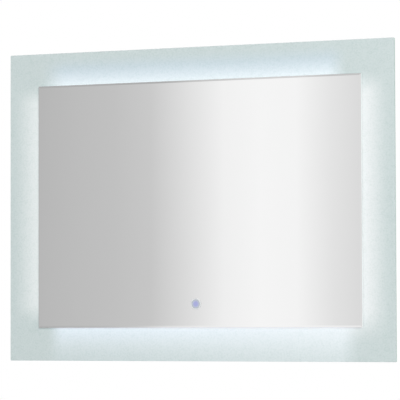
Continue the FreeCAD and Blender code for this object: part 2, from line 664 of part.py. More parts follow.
def make_frame_side(side, half_length, outer, turned):
    """One mitred side of the frame: box profile with a groove for the light strip."""
    rail = Piece("frame_" + side)
    section = rail.sketch("YZ_Plane")
    inner = "%s - Sizes.profile_width" % outer
    groove_bottom = "%s - Sizes.groove_depth" % outer
    groove_wall_side = "Places.groove_half - Places.out_frame_middle"
    groove_glass_side = "-Places.groove_half - Places.out_frame_middle"
    outline(section, (
        ("-Places.out_frame_front", inner),
        ("-Places.out_frame_back", inner),
        ("-Places.out_frame_back", outer),
        (groove_wall_side, outer),
        (groove_wall_side, groove_bottom),
        (groove_glass_side, groove_bottom),
        (groove_glass_side, outer),
        ("-Places.out_frame_front", outer),
    ))
    box_outline(section, "Sizes.profile_wall - Places.out_frame_front",
                "-Places.out_frame_back - Sizes.profile_wall",
                inner + " + Sizes.profile_wall", outer + " - Sizes.profile_wall")
    rail.pad(section, "2 * %s" % half_length, both_ways=True)
    mitres = rail.sketch("XZ_Plane", "Places.out_frame_middle")
    low = "%s - %s" % (inner, CUT_PAST)
    for sign in BOTH:
        outline(mitres, (
            (sign + "(%s + %s)" % (half_length, CUT_PAST), "%s + %s" % (outer, CUT_PAST)),
            (sign + "(%s - Sizes.profile_width - %s)" % (half_length, CUT_PAST), low),
            (sign + "(%s + %s)" % (half_length, CUT_PAST), low),
        ))
    rail.cut_through(mitres)
    screws = rail.sketch("XZ_Plane", "Places.out_frame_back")
    for sign in BOTH:
        ring(screws, sign + "(%s - Sizes.key_screw_from_corner)" % half_length,
             outer + " - Sizes.profile_width / 2", "Places.screw_hole")
    rail.cut(screws, "Sizes.profile_wall", backwards=True)
    if side == "bottom":
        feed = rail.sketch("XY_Plane")
        ring(feed, "-Places.feed_x", "-Places.feed_out", "Places.grommet_hole")
        rail.cut_through(feed)
    if side in ("left", "right"):
        # the crossbar's screws go through this side's inner wall
        toward = 1 if side == "left" else -1
        tab = rail.sketch("XY_Plane", inner)
        for sign in ("-", "+"):
            height = "(Places.tab_z - Places.glass_z %s Sizes.tab_screw_spacing / 2)" % sign
            ring(tab, "%d * %s" % (toward, height), "-Places.tab_out", "Places.screw_hole")
        rail.cut(tab, "Sizes.profile_wall", backwards=True)
    rail.put(up="Places.glass_z", turned=turned)


def make_corner_keys():
    """Four L-shaped keys inside the mitred corners, each with two screw holes."""
    keys = Piece("corner_keys")
    play = "Sizes.profile_wall + Sizes.key_play"
    right = "(Places.frame_half_width - (%s))" % play
    top = "(Places.frame_half_height - (%s))" % play
    right_in = "(%s - Sizes.profile_width + 2 * (%s))" % (right, play)
    top_in = "(%s - Sizes.profile_width + 2 * (%s))" % (top, play)
    right_leg, top_leg = "(%s - Sizes.key_leg)" % right, "(%s - Sizes.key_leg)" % top
    corner = ((right, top), (right, top_leg), (right_in, top_leg),
              (right_in, top_in), (right_leg, top_in), (right_leg, top))
    sketch = keys.sketch("XZ_Plane", "Places.out_frame_back + " + play)
    holes = keys.sketch("XZ_Plane", "Places.out_frame_back")
    for side in BOTH:
        for level in BOTH:
            outline(sketch, [(side + across, level + up) for across, up in corner])
            for across, up in KEY_SCREWS:
                ring(holes, side + across, level + up, "Places.screw_hole")
    keys.pad(sketch, "Sizes.profile_depth - 2 * (%s)" % play)
    keys.cut(holes, "Sizes.screw_length", backwards=True)
    keys.put(up="Places.glass_z")


def make_corner_key_screws():
    """The corner keys' screws, through the wall side of the frame."""
    screw = cross_head_screw(size("screw_thread"), size("screw_length"),
                             size("screw_head"), size("screw_head_height"))
    far, near = size("key_screw_from_corner"), size("profile_width") / 2
    wide, tall, middle = place("frame_half_width"), place("frame_half_height"), place("glass_z")
    keep("corner_key_screws", [
        placed(screw, FreeCAD.Vector(side * (wide - in_across), -place("out_frame_back"),
                                     middle + level * (tall - in_up)))
        for side in (-1, 1) for level in (-1, 1)
        for in_across, in_up in ((far, near), (near, far))])


def make_crossbar_screws():
    """Two screws at each end of the crossbar, into the frame's inner walls."""
    screw = cross_head_screw(size("screw_thread"), size("screw_length"),
                             size("screw_head"), size("screw_head_height"))
    seat_x = place("crossbar_half") - size("rail_sheet")
    screws = []
    for side in (-1, 1):
        turned = FreeCAD.Rotation(ALONG_Z, side * 90)
        for step in (-1, 1):
            z = place("tab_z") + step * size("tab_screw_spacing") / 2
            seat = FreeCAD.Vector(side * seat_x, -place("tab_out"), z)
            screws.append(placed(screw, seat, turned))
    keep("crossbar_screws", screws)


def make_frame_tape():
    """Foam tape on the front of each side of the frame."""
    edge = "(Sizes.profile_width - Sizes.frame_tape_width) / 2"
    tape_strips("frame_tape", "(Places.frame_half_width - %s)" % edge,
                "(Places.frame_half_height - %s)" % edge, "Sizes.frame_tape_width",
                "Places.out_frame_front", "Sizes.frame_tape_thick")


def make_wall_buffers():
    """Two rubber buffers that keep the frame's lower side off the wall."""
    buffers = Piece("wall_buffers")
    sketch = buffers.sketch("XZ_Plane")
    for side in BOTH:
        ring(sketch, side + "(Places.frame_half_width - Sizes.buffer_from_corner)",
             "Places.glass_z - Places.frame_half_height + Sizes.profile_width / 2",
             "Sizes.buffer_diameter / 2")
    buffers.pad(sketch, "Sizes.wall_gap")
    buffers.dress("Chamfer", lambda edge: abs(edge.BoundBox.Center.y) < TINY,
                  Size="Sizes.buffer_rim")


# ---------------------------------------------------------------------------------------------
# Light strips
# ---------------------------------------------------------------------------------------------

# Each side's strip: the sign of its start along the side's own X axis, its length and its count
# of segments. The strips start at the frame's left end or at its upper end.
STRIPS = {
    "top": ("-", "Places.long_strip", "Places.long_segments"),
    "right": ("-", "Places.short_strip", "Places.short_segments"),
    "bottom": ("", "Places.long_strip", "Places.long_segments"),
    "left": ("", "Places.short_strip", "Places.short_segments"),
}


def make_strip(side, half_length, outer, turned):
    """One light strip in its groove, and the chips on it, in the frame side's own axes."""
    sign, length, segments = STRIPS[side]
    start = "(%s - Sizes.strip_start)" % half_length
    bed = "%s - Sizes.groove_depth" % outer
    face = bed + " + Sizes.strip_thick"
    strip = Piece("light_strip_" + side)
    sketch = strip.sketch("XZ_Plane", "Places.out_frame_middle - Sizes.strip_width / 2")
    box_outline(sketch, sign + start, "%s(%s - %s)" % (sign, start, length), bed, face)
    strip.pad(sketch, "Sizes.strip_width")
    strip.put(up="Places.glass_z", turned=turned)
    chips = Piece("light_chips_" + side)
    first = chips.sketch("XZ_Plane", "Places.out_frame_middle - Sizes.chip_width / 2")
    middle = "%s - Sizes.chip_pitch / 2" % start
    box_outline(first, "%s(%s + Sizes.chip_length / 2)" % (sign, middle),
                "%s(%s - Sizes.chip_length / 2)" % (sign, middle),
                face, face + " + Sizes.chip_height")
    pad = chips.pad(first, "Sizes.chip_width")
    row = chips.body.newObject("PartDesign::LinearPattern", chips.body.Name + "_row")
    row.Originals = [pad]
    row.Direction = (chips.origin("X_Axis"), [""])
    row.Reversed = sign == ""
    row.Mode = "Spacing"
    row.setExpression("Offset", "Sizes.chip_pitch")
    row.setExpression("Occurrences", segments + " * Sizes.chips_per_segment")
    chips.body.Tip = row
    chips.put(up="Places.glass_z", turned=turned)


def make_jumpers():
    """Short leads round three of the frame's corners, from each strip to the next."""
    wide, tall, middle = place("frame_half_width"), place("frame_half_height"), place("glass_z")
    off, corner, lap = size("jumper_standoff"), size("jumper_corner"), size("jumper_lap")
    out = -place("out_frame_middle")
    long_start = place("strip_left") + lap
    long_end = place("strip_left") + place("long_strip") - lap
    short_start = place("strip_top") - lap
    short_end = place("strip_top") - place("short_strip") + lap
    routes = (
        ("jumper_top_left", -1, 1, long_start, short_start),
        ("jumper_top_right", 1, 1, long_end, short_start),
        ("jumper_bottom_left", -1, -1, long_start, short_end),
    )
    for label, side, level, strip_x, strip_z in routes:
        points = (
            (strip_x, out, middle + level * (tall + off)),
            (side * (wide + corner), out, middle + level * (tall + corner)),
            (side * (wide + off), out, strip_z),
        )
        lead(label, points, size("jumper_diameter"), size("jumper_bend"))


# ---------------------------------------------------------------------------------------------
# Touch switch
# ---------------------------------------------------------------------------------------------


def turned_piece(label, corners):
    """A piece turned about the touch key's axis: corners are radius and distance out."""
    piece = Piece(label)
    sketch = piece.sketch("XY_Plane")
    outline(sketch, [(radius, "-(%s)" % out) for radius, out in corners])
    piece.turn(sketch, "Y_Axis")
    piece.put(up="Places.key_z")
    return piece


def make_touch_switch():
    """Touch switch clamped through both glasses: bezel, lens, board, cap, gasket and nut."""
    seat = "Sizes.lens_radius + Sizes.lens_play"
    turned_piece("touch_switch_bezel", (
        (seat, "Places.flange_front"),
        ("Sizes.flange_radius - Sizes.flange_edge", "Places.flange_front"),
        ("Sizes.flange_radius", "Places.flange_front - Sizes.flange_edge"),
        ("Sizes.flange_radius", "Places.out_pane_front"),
        ("Sizes.sleeve_radius", "Places.out_pane_front"),
        ("Sizes.sleeve_radius", "Places.sleeve_end"),
        ("Sizes.sleeve_bore", "Places.sleeve_end"),
        ("Sizes.sleeve_bore", "Places.lens_back"),
        (seat, "Places.lens_back"),
    ))
    turned_piece("touch_switch_lens", (
        ("0", "Places.lens_back"), ("0", "Places.lens_front"),
        ("Sizes.lens_radius", "Places.lens_front"), ("Sizes.lens_radius", "Places.lens_back"),
    ))
    inside = "Sizes.sleeve_bore - Sizes.sensor_play"
    turned_piece("touch_switch_board", (
        ("0", "Places.sensor_back"), ("0", "Places.sensor_front"),
        (inside, "Places.sensor_front"), (inside, "Places.sensor_back"),
    ))
    cap = turned_piece("touch_switch_cap", (
        ("0", "Places.cap_back"), ("0", "Places.sensor_back"),
        (inside, "Places.sensor_back"), (inside, "Places.sleeve_end"),
        ("Sizes.sleeve_radius", "Places.sleeve_end"), ("Sizes.sleeve_radius", "Places.cap_back"),
    ))
    for role, corner in (("XY_Plane", ("0", "-Places.cap_lead")),
                         ("YZ_Plane", ("-Places.cap_lead", "0"))):
        socket = cap.sketch(role, "Sizes.sleeve_radius - Sizes.lead_socket")
        ring(socket, corner[0], corner[1], "Places.lead_hole")
        cap.cut(socket, "Sizes.lead_socket", backwards=True)
    gasket = Piece("touch_switch_gasket")
    sketch = gasket.sketch("XZ_Plane", "Places.out_panel_back - Sizes.gasket_thick")
    ring(sketch, "0", "0", "Sizes.gasket_radius")
    ring(sketch, "0", "0", "Places.glass_hole")
    gasket.pad(sketch, "Sizes.gasket_thick")
    gasket.put(up="Places.key_z")
    nut = Piece("touch_switch_nut")
    nut_front = "Places.out_panel_back - Sizes.gasket_thick"
    sketch = nut.sketch("XZ_Plane", nut_front + " - Sizes.nut_thick")
    hexagon(sketch, "Sizes.nut_across_flats")
    ring(sketch, "0", "0", "Sizes.sleeve_radius + Sizes.nut_play")
    nut.pad(sketch, "Sizes.nut_thick")
    nut.put(up="Places.key_z")


# ---------------------------------------------------------------------------------------------
# Driver
# ---------------------------------------------------------------------------------------------

DRIVER_HALF_LENGTH = "Sizes.driver_length / 2"
DRIVER_HALF_HEIGHT = "Sizes.driver_height / 2"


def driver_corners(sketch, inset, radius):
    """A circle near each corner of the driver, at one inset from its edges."""
    for side in BOTH:
        for level in BOTH:
            ring(sketch, side + "(%s - %s)" % (DRIVER_HALF_LENGTH, inset),
                 level + "(%s - %s)" % (DRIVER_HALF_HEIGHT, inset), radius)


def driver_plate(label, wall_side, thick):
    """A plate with the driver's rounded outline, in the driver's own axes."""
    piece = plate(label, "-" + DRIVER_HALF_LENGTH, DRIVER_HALF_LENGTH,
                  "-" + DRIVER_HALF_HEIGHT, DRIVER_HALF_HEIGHT, wall_side, thick)
    piece.dress("Fillet", lambda edge: lies_along(edge, ALONG_Y), Radius="Sizes.driver_corner")
    return piece


def put_driver(piece):
    """Move a piece from the driver's own axes to its place."""
    piece.put(across="Sizes.driver_x", up="Places.driver_mid_z")


def make_driver_case():
    """Driver case: open towards the wall, with screw bosses, board pillars and two lead holes."""
    case = driver_plate("driver_case", "Places.case_rim", "Sizes.driver_depth")
    hollow = case.sketch("XZ_Plane", "Places.case_rim")
    box_outline(hollow, "Sizes.driver_wall - " + DRIVER_HALF_LENGTH,
                DRIVER_HALF_LENGTH + " - Sizes.driver_wall",
                "Sizes.driver_wall - " + DRIVER_HALF_HEIGHT,
                DRIVER_HALF_HEIGHT + " - Sizes.driver_wall")
    case.cut(hollow, "Sizes.driver_depth - Sizes.driver_wall", backwards=True)
    bosses = case.sketch("XZ_Plane", "Places.case_floor")
    driver_corners(bosses, "Sizes.boss_inset", "Sizes.boss_radius")
    case.pad(bosses, "Sizes.driver_depth - Sizes.driver_wall", backwards=True)
    holes = case.sketch("XZ_Plane", "Places.case_rim")
    driver_corners(holes, "Sizes.boss_inset", "Places.driver_screw_hole")
    case.cut(holes, "Sizes.lid_screw_length", backwards=True)
    pillars = case.sketch("XZ_Plane", "Places.case_floor")
    for side in BOTH:
        ring(pillars, side + "Sizes.pillar_x", "0", "Sizes.pillar_radius")
    case.pad(pillars, "Sizes.pillar_height", backwards=True)
    board_holes = case.sketch("XZ_Plane", "Places.board_front")
    for side in BOTH:
        ring(board_holes, side + "Sizes.pillar_x", "0", "Places.driver_screw_hole")
    case.cut(board_holes, "Sizes.pillar_height", backwards=True)
    mains = case.sketch("YZ_Plane", "-" + DRIVER_HALF_LENGTH)
    ring(mains, "-Places.case_middle", "0", "(Sizes.gland_thread + Sizes.gland_hole_play) / 2")
    case.cut(mains, "Sizes.driver_wall", backwards=True)
    output = case.sketch("YZ_Plane", DRIVER_HALF_LENGTH)
    ring(output, "-Places.case_middle", "0", "Places.grommet_hole")
    case.cut(output, "Sizes.driver_wall")
    put_driver(case)


def make_driver_lid():
    """Driver lid with a locating rim, four screw holes and a bare label recess."""
    lid = driver_plate("driver_lid", "Places.lid_back", "Sizes.driver_wall")
    holes = lid.sketch("XZ_Plane", "Places.lid_back")
    driver_corners(holes, "Sizes.boss_inset", "Places.driver_screw_hole")
    lid.cut(holes, "Sizes.driver_wall", backwards=True)
    label = lid.sketch("XZ_Plane", "Places.lid_back")
    box_outline(label, "-Sizes.label_width / 2", "Sizes.label_width / 2",
                "-Sizes.label_height / 2", "Sizes.label_height / 2")
    lid.cut(label, "Sizes.label_sink", backwards=True)
    put_driver(lid)


def make_driver_board():
    """Driver board on its two pillars."""
    board = plate("driver_board", "-Sizes.board_length / 2", "Sizes.board_length / 2",
                  "-Sizes.board_height / 2", "Sizes.board_height / 2",
                  "Places.board_back", "Sizes.board_thick")
    holes = board.sketch("XZ_Plane", "Places.board_back")
    for side in BOTH:
        ring(holes, side + "Sizes.pillar_x", "0", "Places.driver_screw_hole")
    board.cut(holes, "Sizes.board_thick", backwards=True)
    put_driver(board)


def make_board_parts():
    """The parts soldered to the driver board, on its wall side."""
    for name, *_ in BLOCK_PARTS:
        part = Piece(name)
        sketch = part.sketch("XZ_Plane", "Places.board_back")
        x, z = "Sizes.%s_x" % name, "Sizes.%s_z" % name
        length, height = "Sizes.%s_length / 2" % name, "Sizes.%s_height / 2" % name
        box_outline(sketch, "%s - %s" % (x, length), "%s + %s" % (x, length),
                    "%s - %s" % (z, height), "%s + %s" % (z, height))
        part.pad(sketch, "Sizes.%s_rise" % name, backwards=True)
        put_driver(part)
    for name, *_ in ROUND_PARTS:
        part = Piece(name)
        sketch = part.sketch("XZ_Plane", "Places.board_back")
        ring(sketch, "Sizes.%s_x" % name, "Sizes.%s_z" % name, "Sizes.%s_diameter / 2" % name)
        part.pad(sketch, "Sizes.%s_rise" % name, backwards=True)
        put_driver(part)


def make_driver_screws():
    """Four lid screws and two board screws."""
    screw = cross_head_screw(size("lid_screw_thread"), size("lid_screw_length"),
                             size("lid_screw_head"), size("lid_screw_head_height"))
    short = cross_head_screw(size("lid_screw_thread"), size("board_thick") + size("pillar_height"),
                             size("lid_screw_head"), size("lid_screw_head_height"))
    x = size("driver_length") / 2 - size("boss_inset")
    z = size("driver_height") / 2 - size("boss_inset")
    middle = FreeCAD.Vector(size("driver_x"), 0, place("driver_mid_z"))
    keep("driver_lid_screws", [
        placed(screw, middle + FreeCAD.Vector(side * x, -place("lid_back"), level * z))
        for side in (-1, 1) for level in (-1, 1)])
    keep("driver_board_screws", [
        placed(short, middle + FreeCAD.Vector(side * size("pillar_x"), -place("board_back"), 0))
        for side in (-1, 1)])


def make_driver_tape():
    """Foam tape that bonds the driver to the back of the panel."""
    tape = plate("driver_tape", "Sizes.driver_tape_edge - " + DRIVER_HALF_LENGTH,
                 DRIVER_HALF_LENGTH + " - Sizes.driver_tape_edge",
                 "Sizes.driver_tape_edge - " + DRIVER_HALF_HEIGHT,
                 DRIVER_HALF_HEIGHT + " - Sizes.driver_tape_edge",
                 "Places.case_front", "Sizes.driver_tape_thick")
    put_driver(tape)


def along_x_piece(label, corners):
    """A piece turned about the mains gland's axis: corners are place along X and radius."""
    piece = Piece(label)
    sketch = piece.sketch("XY_Plane")
    outline(sketch, corners)
    piece.turn(sketch, "X_Axis")
    return piece


def put_gland(piece):
    """Move a piece from the gland's own axes to the driver's mains end."""
    piece.put(across="Places.driver_left", depth="-Places.case_middle", up="Places.driver_mid_z")


def hexagon_pad(piece, start, length, flats, bore):
    """A hexagon with a bore, along X in the piece's own axes."""
    sketch = piece.sketch("YZ_Plane", start)
    hexagon(sketch, flats)
    ring(sketch, "0", "0", bore)
    piece.pad(sketch, length)


def make_mains_gland():
    """Cable gland at the driver's mains end. X = 0 is the outside of the case's end wall."""
    thread, bore = "Sizes.gland_thread / 2", "Sizes.gland_bore / 2"
    nose = "-Sizes.gland_flange - Sizes.gland_nose"
    body = along_x_piece("mains_gland_body", (
        (nose, bore), ("Sizes.gland_shank", bore), ("Sizes.gland_shank", thread), (nose, thread),
    ))
    hexagon_pad(body, "-Sizes.gland_flange", "Sizes.gland_flange", "Sizes.gland_flats", bore)
    put_gland(body)
    loose = thread + " + Sizes.gland_play"
    foot = "-Sizes.gland_flange - Sizes.gland_play"
    mouth = "-Sizes.gland_flange - Sizes.gland_dome"
    shoulder = "Sizes.gland_flats / 2"
    dome = along_x_piece("mains_gland_dome_nut", (
        (foot, loose), (foot, shoulder),
        (mouth + " + Sizes.gland_taper", shoulder),
        (mouth, bore + " + Sizes.gland_mouth_wall"),
        (mouth, bore),
        (nose + " - Sizes.gland_play", bore),
        (nose + " - Sizes.gland_play", loose),
    ))
    put_gland(dome)
    locknut = Piece("mains_gland_locknut")
    hexagon_pad(locknut, "Sizes.driver_wall", "Sizes.gland_locknut", "Sizes.gland_flats", loose)
    put_gland(locknut)


# ---------------------------------------------------------------------------------------------
# Low-voltage leads
# ---------------------------------------------------------------------------------------------


def grommet(label, wall, bore):
    """A rubber grommet along X in its own axes, its groove centred on X = 0 over a wall."""
    rim = "Places.grommet_rim"
    half = "(%s) / 2" % wall
    far = "%s + Sizes.grommet_flange" % half
    return along_x_piece(label, (
        ("-(%s)" % far, bore), (far, bore), (far, rim), (half, rim),
        (half, "Places.grommet_hole"), ("-" + half, "Places.grommet_hole"),
        ("-" + half, rim), ("-(%s)" % far, rim),
    ))


def make_grommets():
    """Grommets where the leads leave the driver and pass through the frame's lower side."""
    output = grommet("output_grommet", "Sizes.driver_wall", "Places.lead_hole")
    output.put(across="Places.driver_right - Sizes.driver_wall / 2",
               depth="-Places.case_middle", up="Places.driver_mid_z")
    feed = grommet("feed_grommet", "Sizes.profile_width", "Places.lead_hole")
    feed.put(across="Places.feed_x", depth="-Places.feed_out",
             up="Places.glass_z - Places.frame_half_height + Sizes.profile_width / 2", turned=90)


def make_supply_lead():
    """Lead from the driver, clipped down the panel's back, into the top of the touch switch."""
    driver_end, driver_z = place("driver_right"), place("driver_mid_z")
    wall_out, clipped, cap_out = place("case_middle"), place("lead_out"), place("cap_lead")
    start = driver_end - size("driver_wall") - size("grommet_flange") - size("lead_end_gap")
    inside = size("lead_socket") - size("lead_end_gap")
    lead("supply_lead", (
        (start, -wall_out, driver_z),
        (driver_end + size("supply_exit"), -wall_out, driver_z),
        (0, -clipped, driver_z),
        (0, -clipped, place("ramp_head")),
        (0, -cap_out, place("ramp_foot")),
        (0, -cap_out, place("switch_top") - inside),
    ), size("lead_diameter"))


def make_feed_lead():
    """Lead from the side of the touch switch through the frame to the lower light strip."""
    cap_out, key_z = place("cap_lead"), place("key_z")
    feed_x, feed_out = place("feed_x"), place("feed_out")
    inside = size("lead_socket") - size("lead_end_gap")
    frame_bottom = place("glass_z") - place("frame_half_height")
    strip_face = frame_bottom + size("groove_depth") - size("strip_thick")
    strip_z = strip_face - size("lead_diameter") / 2 - size("lead_end_gap")
    turn_z = frame_bottom - size("grommet_flange") - size("feed_hang")
    strip_out = place("out_frame_middle")
    lead("feed_lead", (
        (size("sleeve_radius") - inside, -cap_out, key_z),
        (size("sleeve_radius") + size("feed_exit"), -cap_out, key_z),
        (feed_x, -feed_out, key_z),
        (feed_x, -feed_out, turn_z),
        (feed_x, strip_z - turn_z - strip_out, turn_z),
        (feed_x, -strip_out, strip_z),
    ), size("lead_diameter"))


def make_clips():
    """Two adhesive clips on the panel's back, over the supply lead's upright run."""
    clips = Piece("cable_clips")
    sketch = clips.sketch("XZ_Plane", "Places.clip_out")
    for middle in ("Places.driver_mid_z - Sizes.clip_upper",
                   "Places.ramp_head + Sizes.clip_lower"):
        box_outline(sketch, "-Sizes.clip_width / 2", "Sizes.clip_width / 2",
                    middle + " - Sizes.clip_length / 2", middle + " + Sizes.clip_length / 2")
    clips.pad(sketch, "Places.out_panel_back - Places.clip_out")
    bore = clips.sketch("XY_Plane")
    ring(bore, "0", "-Places.lead_out", "Places.lead_hole")
    clips.cut_through(bore)
    wall_side = -place("clip_out")
    clips.dress("Chamfer", lambda edge: lies_along(edge, ALONG_Z)
                and abs(edge.BoundBox.Center.y - wall_side) < TINY, Size="Sizes.grommet_wall")


# ---------------------------------------------------------------------------------------------
# The whole mirror
# ---------------------------------------------------------------------------------------------


def make_all():
    """Build every piece."""
    make_wall_rail()
    make_crossbar()
    make_frosted_panel()
    make_mirror_pane()
    make_pane_tape()
    for side in FRAME_SIDES:
        make_frame_side(*side)
        make_strip(*side)
    make_corner_keys()
    make_corner_key_screws()
    make_crossbar_screws()
    make_frame_tape()
    make_wall_buffers()
    make_jumpers()
    make_touch_switch()
    make_driver_case()
    make_driver_lid()
    make_driver_board()
    make_board_parts()
    make_driver_screws()
    make_driver_tape()
    make_mains_gland()
    make_grommets()
    make_supply_lead()
    make_feed_lead()
    make_clips()


def check_document():
    """Stop if any object failed, or a piece's shape is empty or not valid."""
    for item in DOC.Objects:
        faults = [state for state in item.State if state in ("Invalid", "Error")]
        if faults:
            raise RuntimeError("%s is %s" % (item.Label, faults))
    for item in PIECES:
        if item.Shape.isNull() or not item.Shape.Solids or not item.Shape.isValid():
            raise RuntimeError("%s has no valid solid" % item.Label)


def export_pieces():
    """Write each piece to its own STEP file."""
    os.makedirs("parts", exist_ok=True)
    for item in PIECES:
        item.Shape.exportStep("parts/%s.step" % item.Label)
    print("%d pieces" % len(PIECES))


make_all()
DOC.recompute()
check_document()
export_pieces()
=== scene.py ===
"""Looks of a lighted bathroom mirror: etched glass panel, silvered pane, light strips, rear frame.

Everything is in metres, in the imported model's frame: +X to the viewer's right, +Y into the wall,
+Z up. The wall is the plane Y = 0.
"""

from __future__ import annotations

import logging
import math
from dataclasses import dataclass, field
from enum import Enum

import bpy
from mathutils import Matrix, Vector

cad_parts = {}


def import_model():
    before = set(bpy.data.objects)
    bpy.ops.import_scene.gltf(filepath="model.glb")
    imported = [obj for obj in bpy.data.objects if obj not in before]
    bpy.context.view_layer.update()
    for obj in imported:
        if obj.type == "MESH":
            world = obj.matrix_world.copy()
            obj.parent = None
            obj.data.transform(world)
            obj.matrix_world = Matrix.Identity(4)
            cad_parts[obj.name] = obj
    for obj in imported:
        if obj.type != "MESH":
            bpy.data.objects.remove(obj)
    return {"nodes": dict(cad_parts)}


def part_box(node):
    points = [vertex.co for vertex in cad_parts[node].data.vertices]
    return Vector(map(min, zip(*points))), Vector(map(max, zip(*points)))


LOG = logging.getLogger("lighted_mirror")

MM = 0.001
SMOOTH = {"interpolation_type": "SMOOTHSTEP"}


class Axis(Enum):
    """An axis of the mirror's plane, by its place in a vector."""

    X = 0
    Z = 2


class Gloss(Enum):
    """How smooth a surface is, as typical roughness values."""

    GLOSSY = 0.22
    SATIN = 0.38
    FINE_GRAIN = 0.55
    MATT = 0.8


class Grain(Enum):
    """The pattern of a grain, by the texture that draws it."""

    RANDOM = "TexNoise"
    CELLS = "TexVoronoi"


def linear(hex_colour: str) -> tuple[float, float, float, float]:
    """Turn an sRGB hex colour into linear values.

    Args:
        hex_colour: The colour as six hex digits after a hash sign.

    Returns:
        Linear red, green and blue, and an alpha of 1.
    """
    parts = [int(hex_colour[k:k + 2], 16) / 255 for k in (1, 3, 5)]
    low = [c / 12.92 if c <= 0.04045 else ((c + 0.055) / 1.055) ** 2.4 for c in parts]
    return (low[0], low[1], low[2], 1.0)


def per_metre(size_mm: float) -> float:
    """How many grains of a size in millimetres lie side by side in a metre."""
    return 1 / (size_mm * MM)


class Nodes:
    """A node tree under construction."""

    def __init__(self, tree: bpy.types.NodeTree) -> None:
        """Start with an empty tree."""
        self.tree = tree
        tree.nodes.clear()

    def add(self, kind: str, inputs: dict[str | int, object] | None = None, out: int = 0,
            **settings: object) -> bpy.types.NodeSocket | None:
        """Add a node with its settings and links.

        Args:
            kind: The node's type, without the words ShaderNode.
            inputs: Name or number of an input to its value, or to the output linked to it.
                Of a MapRange, 0 is the value, 1 to 2 its range and 3 to 4 the range it is
                mapped to. Of a Mix, 0 is the share, and 2 and 3 are numbers, or 6 and 7
                colours.
            out: Number of the output that is handed back.
            **settings: Properties of the node.

        Returns:
            That output, or None for a node without outputs.
        """
        node = self.tree.nodes.new("ShaderNode" + kind)
        for name, value in settings.items():
            setattr(node, name, value)
        for name, value in (inputs or {}).items():
            if isinstance(value, bpy.types.NodeSocket):
                self.tree.links.new(value, node.inputs[name])
            else:
                node.inputs[name].default_value = value
        return node.outputs[out] if node.outputs else None


class Surface(Nodes):
    """A material under construction, with the place and the facing of each of its points."""

    def __init__(self, name: str) -> None:
        """Start an empty material.

        Args:
            name: The material's name.
        """
        self.material = bpy.data.materials.new(name)
        self.material.use_nodes = True
        super().__init__(self.material.node_tree)
        self.place = self.add("TexCoord", out=3)
        self.x, self.y, self.z = self.add("SeparateXYZ", {0: self.place}).node.outputs[:3]
        normal = self.add("NewGeometry", out=1)
        self.facing_y = self.add("SeparateXYZ", {0: normal}, 1)

    def run(self, axis: Axis) -> bpy.types.NodeSocket:
        """The coordinate along an axis."""
        return (self.x, self.y, self.z)[axis.value]


@dataclass(frozen=True)
class Finish:
    """A real material with how its surface was made."""

    name: str

    def dress(self, s: Surface) -> dict[str, object]:
        """Add the finish's nodes to a surface and give what goes into its shader's inputs."""
        raise NotImplementedError

    def material(self) -> bpy.types.Material:
        """Build the material, once for each name.

        Returns:
            The material.
        """
        if self.name not in bpy.data.materials:
            surface = Surface(self.name)
            shader = surface.add("BsdfPrincipled", self.dress(surface))
            surface.add("OutputMaterial", {"Surface": shader})
        return bpy.data.materials[self.name]


@dataclass(frozen=True)
class GrainedFinish(Finish):
    """A finish with patches of a second tone, and a grain in its gloss and its height.

    Without a patch size, the second tone follows the grain.
    """

    colour: str = "#E4E6E6"
    shade: str = "#DFE2E2"
    patch_mm: float | None = 14.0
    gloss: Gloss = Gloss.FINE_GRAIN
    spread: float = 0.12
    pattern: Grain = Grain.RANDOM
    grain_mm: float = 0.5
    relief_mm: float = 0.03
    along: Axis | None = None
    stretch: float = 1.0
    metallic: float = 0.0
    ior: float = 1.5
    coat: float = 0.0

    def dress(self, s: Surface) -> dict[str, object]:
        """Two tones, with gloss and height from one grain.

        Args:
            s: The surface.

        Returns:
            What goes into the shader's inputs.
        """
        scale = [1.0, 1.0, 1.0]
        if self.along is not None:
            scale[self.along.value] = 1 / self.stretch
        place = s.add("VectorMath", {0: s.place, 1: scale}, operation="MULTIPLY")
        grain = s.add(self.pattern.value, {"Vector": place, "Scale": per_metre(self.grain_mm),
                                           "Detail": 2.0})
        patch = grain if self.patch_mm is None else s.add(
            "TexNoise", {"Vector": s.place, "Scale": per_metre(self.patch_mm), "Detail": 2.0})
        share = s.add("MapRange", {0: patch, 1: 0.3, 2: 0.75}, **SMOOTH)
        low = self.gloss.value - self.spread / 2
        return {
            "Base Color": s.add("Mix", {0: share, 6: linear(self.colour),
                                        7: linear(self.shade)}, 2, data_type="RGBA"),
            "Metallic": self.metallic,
            "Roughness": s.add("MapRange", {0: grain, 1: 0.25, 2: 0.75, 3: low,
                                            4: low + self.spread}),
            "IOR": self.ior,
            "Coat Weight": self.coat,
            "Coat Roughness": 0.25,
            "Normal": s.add("Bump", {"Height": grain, "Distance": self.relief_mm * MM,
                                     "Strength": 0.5}),
        }


@dataclass(frozen=True)
class AnodisedAluminium(GrainedFinish):
    """Extruded aluminium, satin anodised."""

    # The die leaves fine lines along the profile, and the anodising makes their sheen soft:
    # the eye sees cool grey metal with faint streaks. The lines are about 0.1 mm apart, and are
    # drawn at 0.5 mm so that they show.
    colour: str = "#C9CBCD"
    shade: str = "#B9BCBF"
    patch_mm: float | None = None
    gloss: Gloss = Gloss.SATIN
    spread: float = 0.14
    relief_mm: float = 0.02
    stretch: float = 300.0
    metallic: float = 1.0


@dataclass(frozen=True)
class PowderCoat(GrainedFinish):
    """Sheet steel under a baked polyester powder coat."""

    # The powder melts into one skin: the eye sees an even, satin off-white, with an orange peel
    # of about 1.5 mm from crest to crest under a soft sheen.
    colour: str = "#DDDFDF"
    shade: str = "#DADCDD"
    patch_mm: float | None = 40.0
    gloss: Gloss = Gloss.SATIN
    spread: float = 0.08
    grain_mm: float = 1.5
    relief_mm: float = 0.04
    coat: float = 0.2


